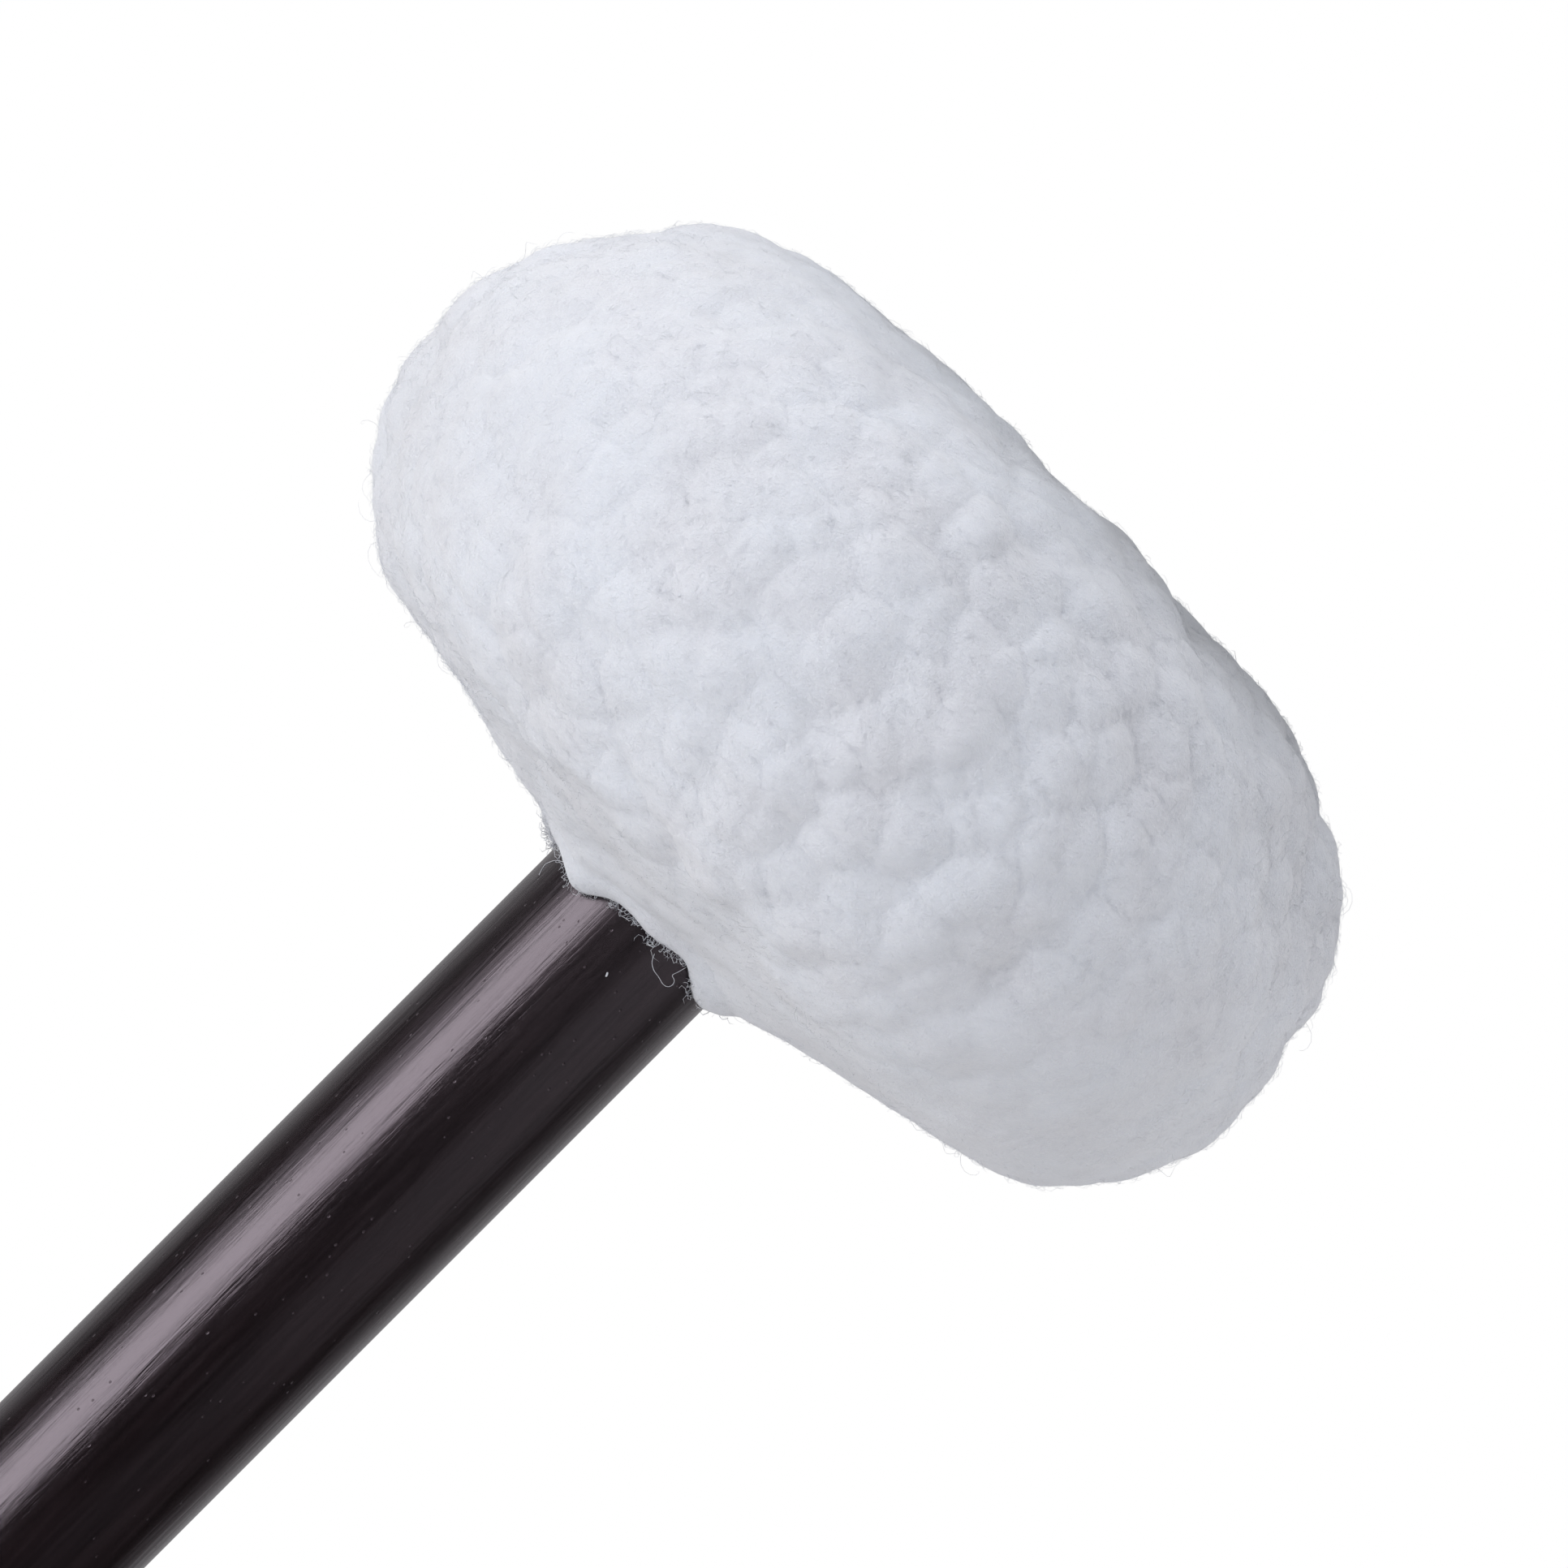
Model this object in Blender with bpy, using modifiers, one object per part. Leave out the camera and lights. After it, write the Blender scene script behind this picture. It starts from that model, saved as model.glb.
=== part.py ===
"""Gong mallet.

A round hardwood handle ends in a spigot, on which a turned wooden core is held by a screw and a washer.
The core is wound with a felt strip and padded with felt in front and behind. A lining and a fleece
cover are drawn over it and bound with twine where they meet the handle.

The mallet stands on the flat front of its head, at z = 0, with the handle rising along +Z.
"""

import math

import bmesh
import bpy
import numpy as np
from mathutils import Vector, noise

# Sizes in metres, angles in radians

SEAT_GAP = 0.0003
SEGMENTS = 40
MERGE_DISTANCE = 0.00001
SHARP_ANGLE = math.radians(35)
EDGE_STEPS = 3
BUTT_STEPS = 6
FORM_CORNER_STEPS = 4
NECK_FILLET_STEPS = 2
REAR_FACE_RINGS = 4

OVERALL_LENGTH = 0.400
HANDLE_DIAMETER = 0.025
BUTT_EDGE_RADIUS = 0.006
SPIGOT_DIAMETER = 0.016
SPIGOT_CHAMFER = 0.001

CORE_DIAMETER = 0.064
CORE_THICKNESS = 0.028
CORE_EDGE_RADIUS = 0.002

SCREW_DIAMETER = 0.005
SCREW_LENGTH = 0.045
SCREW_POINT_LENGTH = 0.007
SCREW_HEAD_DIAMETER = 0.010
SCREW_HEAD_HEIGHT = 0.0032
SCREW_DOME_STEPS = 4
SCREW_SLOT_WIDTH = 0.0012
SCREW_SLOT_DEPTH = 0.0014
SCREW_HEAD_RECESS = 0.0004
PILOT_EXTRA_DEPTH = 0.001
WASHER_DIAMETER = 0.028
WASHER_THICKNESS = 0.0015

FELT_THICKNESS = 0.004
FELT_LAYERS = 3
FELT_LAP_GAP = 0.00045
FELT_TIP_THICKNESS = 0.0006
FELT_SKIVE_ANGLE = math.radians(90)
FELT_CLIMB_ANGLE = math.radians(27)
FELT_EDGE_INSET = 0.001
STITCH_THREAD_DIAMETER = 0.0006
STITCH_COUNT = 6
STITCH_END_MARGIN = 0.001
STITCH_WIDTH_ANGLE = math.radians(4)
FRONT_PAD_THICKNESS = 0.009
REAR_PAD_THICKNESS = 0.005
REAR_PAD_EDGE_THICKNESS = 0.0035

LINING_THICKNESS = 0.0008
BACKING_THICKNESS = 0.0012
NECK_FILLET = 0.0035
HEM_MARGIN = 0.0003
GATHERS = 10
GATHER_HEIGHT = 0.0009
GATHER_REACH = 0.021

TWINE_DIAMETER = 0.001
TWINE_PITCH = 0.00145
TWINE_TURNS = 3.5
TWINE_POINTS_PER_TURN = 24

FRONT_PILE = 0.009
RIM_PILE = 0.0148
LIP_PILE = 0.0022
LIP_RISE = 0.0013
LIP_WIDTH = 0.0045
FRONT_FLAT_RADIUS = 0.028
SHOULDER_WIDTH = 0.0185
SHOULDER_DROP = 0.0057
RIM_FULLNESS = 0.013
SHOULDER_FULLNESS = 0.010
CLUMP_SIZES = (0.019, 0.0095)
CLUMP_HEIGHTS = (0.0023, 0.0017)
CLUMP_SHIFTS = (17.1, 8.55)
CLUMP_TOP = 0.5
CLUMP_FALL = 2.2
CLUMP_CREASE = 9.0
CLUMP_WARP = 0.34
CLUMP_WARP_SIZE = 0.8
SWIRL_WAYS = ((1, 1.7, -1), (-1.3, 0.6, 1.9), (2.1, -1.1, 0.4))
CLUMP_FRONT_FADE = 0.0074
CLUMP_NECK_FADE = 0.008
CALM_SIDES = (((0.95, -0.1, -0.2), 0.70), ((-0.76, -0.3, 0.57), 0.65))
CALM_SPREAD = 1.5
PILE_SEGMENTS = 64
PILE_FRONT_RINGS = 10
PILE_SHOULDER_RINGS = 6
PILE_REAR_RINGS = 5

# Places worked out from the sizes

HANDLE_RADIUS = HANDLE_DIAMETER / 2
SPIGOT_RADIUS = SPIGOT_DIAMETER / 2
CORE_RADIUS = CORE_DIAMETER / 2

BACKING_FRONT = FRONT_PILE + SEAT_GAP
LINING_FRONT = BACKING_FRONT + BACKING_THICKNESS + SEAT_GAP
PAD_FRONT = LINING_FRONT + LINING_THICKNESS + SEAT_GAP
CORE_FRONT = PAD_FRONT + FRONT_PAD_THICKNESS + SEAT_GAP
CORE_REAR = CORE_FRONT + CORE_THICKNESS
CORE_MIDDLE = (CORE_FRONT + CORE_REAR) / 2
REAR_PAD_SEAT = CORE_REAR + SEAT_GAP

HEAD_REAR_FACE = CORE_FRONT + SCREW_HEAD_RECESS + SCREW_HEAD_HEIGHT
WASHER_FRONT = HEAD_REAR_FACE + SEAT_GAP
COUNTERBORE_FLOOR = WASHER_FRONT + WASHER_THICKNESS + SEAT_GAP
COUNTERBORE_RADIUS = WASHER_DIAMETER / 2 + SEAT_GAP
SPIGOT_END = COUNTERBORE_FLOOR + SEAT_GAP
SCREW_TIP = HEAD_REAR_FACE + SCREW_LENGTH
PILOT_RADIUS = SCREW_DIAMETER / 2 + SEAT_GAP

STRIP_FRONT = CORE_FRONT + FELT_EDGE_INSET
STRIP_REAR = CORE_REAR - FELT_EDGE_INSET
WINDING_RADIUS = (
    CORE_RADIUS + SEAT_GAP + FELT_LAYERS * (FELT_THICKNESS + FELT_LAP_GAP) + FELT_TIP_THICKNESS
)

LINING_INNER = SEAT_GAP
LINING_OUTER = LINING_INNER + LINING_THICKNESS
BACKING_INNER = LINING_OUTER + SEAT_GAP
BACKING_OUTER = BACKING_INNER + BACKING_THICKNESS
PILE_INNER = BACKING_OUTER + SEAT_GAP

TWINE_HELIX_RADIUS = (HANDLE_RADIUS + BACKING_OUTER + SEAT_GAP + TWINE_DIAMETER / 2) / math.cos(
    math.pi / TWINE_POINTS_PER_TURN
)
TWINE_START = REAR_PAD_SEAT + REAR_PAD_THICKNESS + NECK_FILLET + SEAT_GAP + TWINE_DIAMETER / 2
TWINE_END = TWINE_START + TWINE_TURNS * TWINE_PITCH
HEM_TOP = TWINE_END + TWINE_DIAMETER / 2 + HEM_MARGIN
POCKET_RADIUS = TWINE_HELIX_RADIUS + TWINE_DIAMETER / 2 + SEAT_GAP
LIP_FLOOR = HEM_TOP + SEAT_GAP
HEAD_RADIUS = WINDING_RADIUS + PILE_INNER + RIM_PILE
NECK_HEIGHT = LIP_FLOOR + LIP_PILE


def clear_scene():
    """Removes every object that the scene starts with."""
    for obj in list(bpy.data.objects):
        bpy.data.objects.remove(obj)


def new_collection(name, hidden=False):
    """A collection in the scene, left out of renders if it is hidden."""
    collection = bpy.data.collections.new(name)
    collection.hide_render = hidden
    bpy.context.scene.collection.children.link(collection)
    return collection


def finish(name, colour, roughness, metallic=0.0):
    """A plain Principled material."""
    material = bpy.data.materials.new(name)
    material.use_nodes = True
    shader = material.node_tree.nodes["Principled BSDF"]
    shader.inputs["Base Color"].default_value = (*colour, 1)
    shader.inputs["Roughness"].default_value = roughness
    shader.inputs["Metallic"].default_value = metallic
    return material


def place(name, data, collection, material):
    """An object of that name in the collection, with its own material."""
    obj = bpy.data.objects.new(name, data)
    collection.objects.link(obj)
    data.materials.append(material)
    return obj


def add_profile(shape, profile):
    """Adds a line through (radius, height) points at +X, leaving out any run along the axis."""
    corners = [shape.verts.new((radius, 0, height)) for radius, height in profile]
    for start, end in zip(corners, corners[1:]):
        if start.co.x or end.co.x:
            shape.edges.new((start, end))
    return corners


def turned(name, profile, collection, material, segments=SEGMENTS):
    """A turned piece. The profile, (radius, height) points, runs down the outer side and then closes."""
    mesh = bpy.data.meshes.new(name)
    shape = bmesh.new()
    corners = add_profile(shape, profile)
    if corners[0].co.x or corners[-1].co.x:
        shape.edges.new((corners[-1], corners[0]))
    shape.to_mesh(mesh)
    shape.free()
    obj = place(name, mesh, collection, material)
    screw = obj.modifiers.new("turn", "SCREW")
    screw.steps = screw.render_steps = segments
    screw.use_merge_vertices = True
    screw.merge_threshold = MERGE_DISTANCE
    turned_mesh = bpy.data.meshes.new_from_object(obj.evaluated_get(bpy.context.evaluated_depsgraph_get()))
    obj.modifiers.clear()
    obj.data = turned_mesh
    shade_round(turned_mesh)
    return obj


def shade_round(mesh):
    """Smooth shading, broken at the real edges."""
    mesh.shade_smooth()
    mesh.set_sharp_from_angle(angle=SHARP_ANGLE)


def quarter_arc(centre, radius, start_angle, steps):
    """Points of a quarter circle that turns clockwise from start_angle."""
    angles = [start_angle - math.pi / 2 * step / steps for step in range(steps + 1)]
    return [(centre[0] + radius * math.cos(a), centre[1] + radius * math.sin(a)) for a in angles]


def line_points(start, end, pieces):
    """The points that part a straight run into pieces, without its ends."""
    return [tuple(np.add(start, np.subtract(end, start) * i / pieces)) for i in range(1, pieces)]


def rounded_corner(before, corner, after, radius, steps):
    """The arc that rounds a corner, as points from one tangent point to the other."""
    inward = np.subtract(corner, before) / np.linalg.norm(np.subtract(corner, before))
    onward = np.subtract(after, corner) / np.linalg.norm(np.subtract(after, corner))
    side = math.copysign(1, inward[0] * onward[1] - inward[1] * onward[0])
    turn = math.acos(np.clip(inward @ onward, -1, 1))
    start = np.array(corner) - inward * radius * math.tan(turn / 2)
    centre = start + side * radius * np.array([-inward[1], inward[0]])
    spoke = start - centre
    arc = []
    for step in range(steps + 1):
        angle = side * turn * step / steps
        cosine, sine = math.cos(angle), math.sin(angle)
        arc.append(tuple(centre + (cosine * spoke[0] - sine * spoke[1], sine * spoke[0] + cosine * spoke[1])))
    return arc


def moved_corner(before, corner, after, distance):
    """The corner of the outline once both its sides have moved outwards by the distance."""
    normals = []
    for start, end in ((before, corner), (corner, after)):
        run = np.subtract(end, start) / np.linalg.norm(np.subtract(end, start))
        normals.append(np.array([run[1], -run[0]]))
    return np.array(corner) + distance * (normals[0] + normals[1]) / (1 + normals[0] @ normals[1])


def rear_slope():
    """The fall of the rear pad's face from the neck to the rim, as an angle."""
    drop = REAR_PAD_THICKNESS - REAR_PAD_EDGE_THICKNESS
    return math.atan2(drop, WINDING_RADIUS - HANDLE_RADIUS)


def rear_height(radius, offset=0.0):
    """The height of the form's rear face at a radius, once it has moved outwards by the offset."""
    slope = rear_slope()
    at_neck = REAR_PAD_SEAT + REAR_PAD_THICKNESS
    return at_neck - (radius - HANDLE_RADIUS) * math.tan(slope) + offset / math.cos(slope)


def form_outline(offset):
    """The padded form's outline, moved outwards by the offset, from the front's centre to the hem.

    It runs across the front pad, round its edge, up the winding, round and over the rear pad, and up the
    handle to the hem.
    """
    rear_rim = rear_height(WINDING_RADIUS)
    corners = [
        (0, PAD_FRONT),
        (WINDING_RADIUS, PAD_FRONT),
        (WINDING_RADIUS, rear_rim),
        (HANDLE_RADIUS, rear_height(HANDLE_RADIUS)),
        (HANDLE_RADIUS, HEM_TOP),
    ]
    rear_turn = math.pi / 2 - rear_slope()
    radii = [
        STRIP_FRONT - PAD_FRONT + offset,
        (rear_rim - STRIP_REAR) / math.tan(rear_turn / 2) + offset,
        NECK_FILLET - offset,
    ]
    moved = [moved_corner(*corners[i - 1 : i + 2], offset) for i in (1, 2, 3)]
    ends = [(0, PAD_FRONT - offset), *moved, (HANDLE_RADIUS + offset, HEM_TOP)]
    steps = (FORM_CORNER_STEPS, FORM_CORNER_STEPS, NECK_FILLET_STEPS)
    arcs = [rounded_corner(*ends[i : i + 3], radii[i], steps[i]) for i in range(3)]
    rear_run = line_points(arcs[1][-1], arcs[2][0], REAR_FACE_RINGS)
    return [ends[0], *arcs[0], *arcs[1], *rear_run, *arcs[2], ends[-1]]


def cut_at(outline, height, above):
    """The part of the outline on one side of a height, ending on it."""
    kept = []
    for start, end in zip(outline, outline[1:]):
        if (start[1] > height) != (end[1] > height):
            share = (height - start[1]) / (end[1] - start[1])
            crossing = (start[0] + share * (end[0] - start[0]), height)
        else:
            crossing = None
        if (start[1] > height) == above:
            kept.append(start)
        if crossing:
            kept.append(crossing)
    if (outline[-1][1] > height) == above:
        kept.append(outline[-1])
    return kept


def gather_lift(radius, angle):
    """How far the drawn-up cover stands off the rear pad where it is gathered towards the neck."""
    reach = min(max((radius - POCKET_RADIUS) / GATHER_REACH, 0), 1)
    fade = math.sin(math.pi * reach) ** 2
    return GATHER_HEIGHT * fade * (1 + math.cos(GATHERS * angle)) / 2


def lift_gathers(points):
    """Raises the points that lie behind the rear pad into the gathers."""
    for point in points:
        if point.co.z > REAR_PAD_SEAT:
            point.co.z += gather_lift(math.hypot(point.co.x, point.co.y), math.atan2(point.co.y, point.co.x))


def build_handle(parts):
    """The handle, with the spigot that the core sits on and the screw's pilot hole."""
    material = finish("handle_lacquered_wood", (0.020, 0.009, 0.008), 0.28)
    butt_centre = (HANDLE_RADIUS - BUTT_EDGE_RADIUS, OVERALL_LENGTH - BUTT_EDGE_RADIUS)
    butt = quarter_arc(butt_centre, BUTT_EDGE_RADIUS, math.pi / 2, BUTT_STEPS)
    profile = [
        (0, OVERALL_LENGTH),
        *butt,
        (HANDLE_RADIUS, REAR_PAD_SEAT),
        (SPIGOT_RADIUS, REAR_PAD_SEAT),
        (SPIGOT_RADIUS, SPIGOT_END + SPIGOT_CHAMFER),
        (SPIGOT_RADIUS - SPIGOT_CHAMFER, SPIGOT_END),
        (PILOT_RADIUS, SPIGOT_END),
        (PILOT_RADIUS, SCREW_TIP + PILOT_EXTRA_DEPTH),
        (0, SCREW_TIP + PILOT_EXTRA_DEPTH + PILOT_RADIUS),
    ]
    return turned("handle_shaft", profile, parts, material)


def build_core(parts):
    """The wooden core, bored for the spigot and counterbored for the screw's head and washer."""
    material = finish("core_wood", (0.46, 0.30, 0.17), 0.6)
    inset = CORE_RADIUS - CORE_EDGE_RADIUS
    rear_edge = quarter_arc((inset, CORE_REAR - CORE_EDGE_RADIUS), CORE_EDGE_RADIUS, math.pi / 2, EDGE_STEPS)
    front_edge = quarter_arc((inset, CORE_FRONT + CORE_EDGE_RADIUS), CORE_EDGE_RADIUS, 0, EDGE_STEPS)
    profile = [
        *rear_edge,
        *front_edge,
        (COUNTERBORE_RADIUS, CORE_FRONT),
        (COUNTERBORE_RADIUS, COUNTERBORE_FLOOR),
        (SPIGOT_RADIUS + SEAT_GAP, COUNTERBORE_FLOOR),
        (SPIGOT_RADIUS + SEAT_GAP, CORE_REAR),
    ]
    return turned("mallet_core", profile, parts, material)


def build_washer(parts):
    """The washer on the counterbore's floor."""
    material = finish("zinc_plated_washer", (0.60, 0.60, 0.58), 0.35, 1.0)
    outer, inner = WASHER_DIAMETER / 2, SCREW_DIAMETER / 2 + SEAT_GAP
    rear = WASHER_FRONT + WASHER_THICKNESS
    profile = [(outer, rear), (outer, WASHER_FRONT), (inner, WASHER_FRONT), (inner, rear)]
    return turned("front_washer", profile, parts, material)


def build_screw(parts, cutters):
    """The wood screw, with its head in front of the washer and its point in the handle."""
    material = finish("zinc_plated_screw", (0.55, 0.55, 0.54), 0.3, 1.0)
    shank = SCREW_DIAMETER / 2
    head = SCREW_HEAD_DIAMETER / 2
    head_front = HEAD_REAR_FACE - SCREW_HEAD_HEIGHT
    dome = [
        (head * math.cos(angle), HEAD_REAR_FACE - SCREW_HEAD_HEIGHT * math.sin(angle))
        for angle in (math.pi / 2 * step / SCREW_DOME_STEPS for step in range(SCREW_DOME_STEPS))
    ]
    point = [(0, SCREW_TIP), (shank, SCREW_TIP - SCREW_POINT_LENGTH), (shank, HEAD_REAR_FACE)]
    profile = [*point, *dome, (0, head_front)]
    screw = turned("core_screw", profile, parts, material, segments=SEGMENTS // 2)
    mesh = bpy.data.meshes.new("screw_slot_cutter")
    shape = bmesh.new()
    bmesh.ops.create_cube(shape, size=1)
    size = (2 * SCREW_HEAD_DIAMETER, SCREW_SLOT_WIDTH, 2 * SCREW_SLOT_DEPTH)
    bmesh.ops.scale(shape, vec=size, verts=shape.verts)
    bmesh.ops.translate(shape, vec=(0, 0, head_front), verts=shape.verts)
    shape.to_mesh(mesh)
    shape.free()
    cutter = bpy.data.objects.new("screw_slot_cutter", mesh)
    cutter.hide_render = True
    cutter.display_type = "WIRE"
    cutters.objects.link(cutter)
    cut = screw.modifiers.new("slot", "BOOLEAN")
    cut.operation = "DIFFERENCE"
    cut.object = cutter
    return screw


def felt_faces():
    """The strip's inner and outer radius at each step of the winding, with both ends skived thin.

    Each layer lies on the one below it, a lap gap away. Where the strip comes round to its own start it
    climbs onto it, and it thins out again over the same angle, so that the outside is round.
    """
    skive = round(FELT_SKIVE_ANGLE / math.tau * SEGMENTS)
    climb_start = SEGMENTS - round(FELT_CLIMB_ANGLE / math.tau * SEGMENTS)
    last = FELT_LAYERS * SEGMENTS + skive
    inner, outer = [], []
    for step in range(last + 1):
        if step >= SEGMENTS:
            below = outer[step - SEGMENTS] + FELT_LAP_GAP
        else:
            climb = max(step - climb_start, 0) / (SEGMENTS - climb_start)
            below = CORE_RADIUS + SEAT_GAP + climb * (FELT_TIP_THICKNESS + FELT_LAP_GAP)
        from_end = min(step, last - step)
        share = min(from_end / skive, 1)
        inner.append(below)
        outer.append(below + FELT_TIP_THICKNESS + share * (FELT_THICKNESS - FELT_TIP_THICKNESS))
    return inner, outer


def spiral_points(radii):
    """Points that turn one segment at a time round the axis, each at its own radius."""
    angles = [math.tau * step / SEGMENTS for step in range(len(radii))]
    return [(radius * math.cos(angle), radius * math.sin(angle)) for radius, angle in zip(radii, angles)]


def build_winding(parts):
    """The felt strip, wound on edge round the core."""
    material = finish("wound_felt", (0.42, 0.40, 0.36), 0.95)
    inner, outer = map(spiral_points, felt_faces())
    least = min(math.dist(below, above) for below, above in zip(outer, inner[SEGMENTS:]))
    print(f"felt winding: least gap between layers {least * 1000:.3f} mm")
    outline = [*inner, *reversed(outer)]
    curve = bpy.data.curves.new("felt_winding", "CURVE")
    curve.dimensions = "2D"
    curve.fill_mode = "BOTH"
    curve.extrude = (STRIP_REAR - STRIP_FRONT) / 2
    spline = curve.splines.new("POLY")
    spline.points.add(len(outline) - 1)
    for point, (x, y) in zip(spline.points, outline):
        point.co = (x, y, 0, 1)
    spline.use_cyclic_u = True
    obj = place("felt_winding", curve, parts, material)
    obj.location.z = (STRIP_FRONT + STRIP_REAR) / 2
    return obj


def thread_tube(name, path, diameter, parts, material):
    """A thread or twine of six sides along a path of points, with closed ends."""
    curve = bpy.data.curves.new(name, "CURVE")
    curve.dimensions = "3D"
    curve.bevel_depth = diameter / 2
    curve.bevel_resolution = 1
    curve.use_fill_caps = True
    spline = curve.splines.new("POLY")
    spline.points.add(len(path) - 1)
    for point, corner in zip(spline.points, path):
        point.co = (*corner, 1)
    return place(name, curve, parts, material)


def build_closing_stitch(parts):
    """The thread that zigzags up the step beside the strip's outer end."""
    material = finish("linen_thread", (0.70, 0.64, 0.52), 0.8)
    _, outer = felt_faces()
    lie = outer[FELT_LAYERS * SEGMENTS - SEGMENTS // 2] + SEAT_GAP + STITCH_THREAD_DIAMETER / 2
    near = FELT_SKIVE_ANGLE + STITCH_WIDTH_ANGLE
    start = STRIP_FRONT + STITCH_END_MARGIN
    rise = (STRIP_REAR - STITCH_END_MARGIN - start) / (2 * STITCH_COUNT)
    path = []
    for step in range(2 * STITCH_COUNT + 1):
        angle = near + STITCH_WIDTH_ANGLE * (step % 2)
        path.append((lie * math.cos(angle), lie * math.sin(angle), start + rise * step))
    return thread_tube("closing_stitch", path, STITCH_THREAD_DIAMETER, parts, material)


def build_front_pad(parts):
    """The felt pad behind the striking face, rounded over to the winding."""
    material = finish("pad_felt", (0.60, 0.58, 0.53), 0.95)
    rear = PAD_FRONT + FRONT_PAD_THICKNESS
    edge = cut_at(form_outline(0), rear, above=False)
    return turned("front_pad", [(0, rear), *reversed(edge)], parts, material)


def build_rear_pad(parts):
    """The felt ring behind the core, thinner towards its rim."""
    material = finish("rear_pad_felt", (0.60, 0.58, 0.53), 0.95)
    bore = HANDLE_RADIUS + SEAT_GAP
    behind = cut_at(form_outline(0), REAR_PAD_SEAT, above=True)
    crown = [point for point in behind if point[0] > HANDLE_RADIUS + NECK_FILLET]
    profile = [(bore, rear_height(bore)), *reversed(crown), (bore, REAR_PAD_SEAT)]
    return turned("rear_pad", profile, parts, material)


def build_cloth(name, inner, outer, parts, material):
    """A cloth drawn over the padded form and up the handle, between two offsets from the form."""
    return turned(name, [*reversed(form_outline(outer)), *form_outline(inner)], parts, material)


def build_lining(parts):
    """The cotton that holds the felt together."""
    material = finish("lining_cotton", (0.72, 0.69, 0.62), 0.9)
    return build_cloth("lining_sock", LINING_INNER, LINING_OUTER, parts, material)


def build_backing(parts):
    """The knit ground of the fleece, gathered towards the neck."""
    material = finish("fleece_backing_knit", (0.78, 0.78, 0.78), 0.9)
    cover = build_cloth("fleece_backing", BACKING_INNER, BACKING_OUTER, parts, material)
    lift_gathers(cover.data.vertices)
    return cover


def build_binding(parts):
    """The twine wound round both cloths where they meet the handle."""
    material = finish("waxed_twine", (0.50, 0.45, 0.36), 0.7)
    count = round(TWINE_TURNS * TWINE_POINTS_PER_TURN)
    path = []
    for step in range(count + 1):
        angle = math.tau * step / TWINE_POINTS_PER_TURN
        height = TWINE_START + TWINE_PITCH * step / TWINE_POINTS_PER_TURN
        path.append((TWINE_HELIX_RADIUS * math.cos(angle), TWINE_HELIX_RADIUS * math.sin(angle), height))
    half_turn = TWINE_POINTS_PER_TURN // 2
    apart = min(math.dist(point, other) for i, point in enumerate(path) for other in path[i + half_turn :])
    print(f"neck binding: least gap between turns {(apart - TWINE_DIAMETER) * 1000:.3f} mm")
    return thread_tube("neck_binding", path, TWINE_DIAMETER, parts, material)


def pile_outline():
    """The fleece's outer outline, from the centre of its flat front to the lip at the handle."""
    front = []
    for step in range(PILE_FRONT_RINGS + 1):
        angle = math.pi / 2 * step / PILE_FRONT_RINGS
        across = FRONT_FLAT_RADIUS + (HEAD_RADIUS - FRONT_FLAT_RADIUS) * math.sin(angle)
        front.append((across, CORE_MIDDLE * (1 - math.cos(angle))))
    shoulder = np.array([HEAD_RADIUS - SHOULDER_WIDTH, NECK_HEIGHT - SHOULDER_DROP])
    lip_edge = np.array([HANDLE_RADIUS + SEAT_GAP + LIP_WIDTH, NECK_HEIGHT])
    fall = (shoulder - lip_edge) / np.linalg.norm(shoulder - lip_edge)
    widest = np.array([HEAD_RADIUS, CORE_MIDDLE])
    pulls = (widest + (0, RIM_FULLNESS), shoulder + fall * SHOULDER_FULLNESS)
    rear = []
    for step in range(1, PILE_SHOULDER_RINGS + 1):
        t = step / PILE_SHOULDER_RINGS
        weights = ((1 - t) ** 3, 3 * (1 - t) ** 2 * t, 3 * (1 - t) * t**2, t**3)
        rear.append(tuple(sum(w * p for w, p in zip(weights, (widest, *pulls, shoulder)))))
    cone = line_points(shoulder, lip_edge, PILE_REAR_RINGS)
    return [(0, 0), *front, *rear, *cone, tuple(lip_edge), (HANDLE_RADIUS + SEAT_GAP, NECK_HEIGHT + LIP_RISE)]


def clump_dome(point, size, shift):
    """The height of one size of lump at a point: rounded tops that meet in creases."""
    where = point / (size * CLUMP_WARP_SIZE)
    drift = Vector([noise.noise(where + shift * Vector(way)) for way in SWIRL_WAYS])
    near = noise.voronoi(point / size + CLUMP_WARP * drift)[0][:3]
    away = -math.log(sum(math.exp(-CLUMP_CREASE * distance) for distance in near)) / CLUMP_CREASE
    return CLUMP_TOP - CLUMP_FALL * max(away, 0) ** 2


def clump_relief(point):
    """How far the fleece stands proud or lies low at a point. It fades out at the flat front and the neck."""
    facing = (point - Vector((0, 0, CORE_MIDDLE))).normalized()
    lively = 1
    for side, loss in CALM_SIDES:
        lively *= 1 - loss * max(facing.dot(Vector(side).normalized()), 0) ** CALM_SPREAD
    off_handle = math.hypot(point.x, point.y) - POCKET_RADIUS
    off_front = point.z / CLUMP_FRONT_FADE
    off_neck = off_handle / CLUMP_NECK_FADE if point.z > CORE_MIDDLE else 1
    fade = min(max(min(off_front, off_neck), 0), 1)
    layers = zip(CLUMP_SIZES, CLUMP_HEIGHTS, CLUMP_SHIFTS)
    return fade * lively * sum(height * clump_dome(point, size, shift) for size, height, shift in layers)


def raise_clumps(shape, skin):
    """Moves the points of the fleece's outer skin out and in, square to the skin."""
    middle = Vector((0, 0, CORE_MIDDLE))
    bmesh.ops.recalc_face_normals(shape, faces=shape.faces)
    outward = [point.normal * math.copysign(1, point.normal.dot(point.co - middle)) for point in skin]
    for point, direction in zip(skin, outward):
        point.co += direction * clump_relief(point.co)


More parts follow.
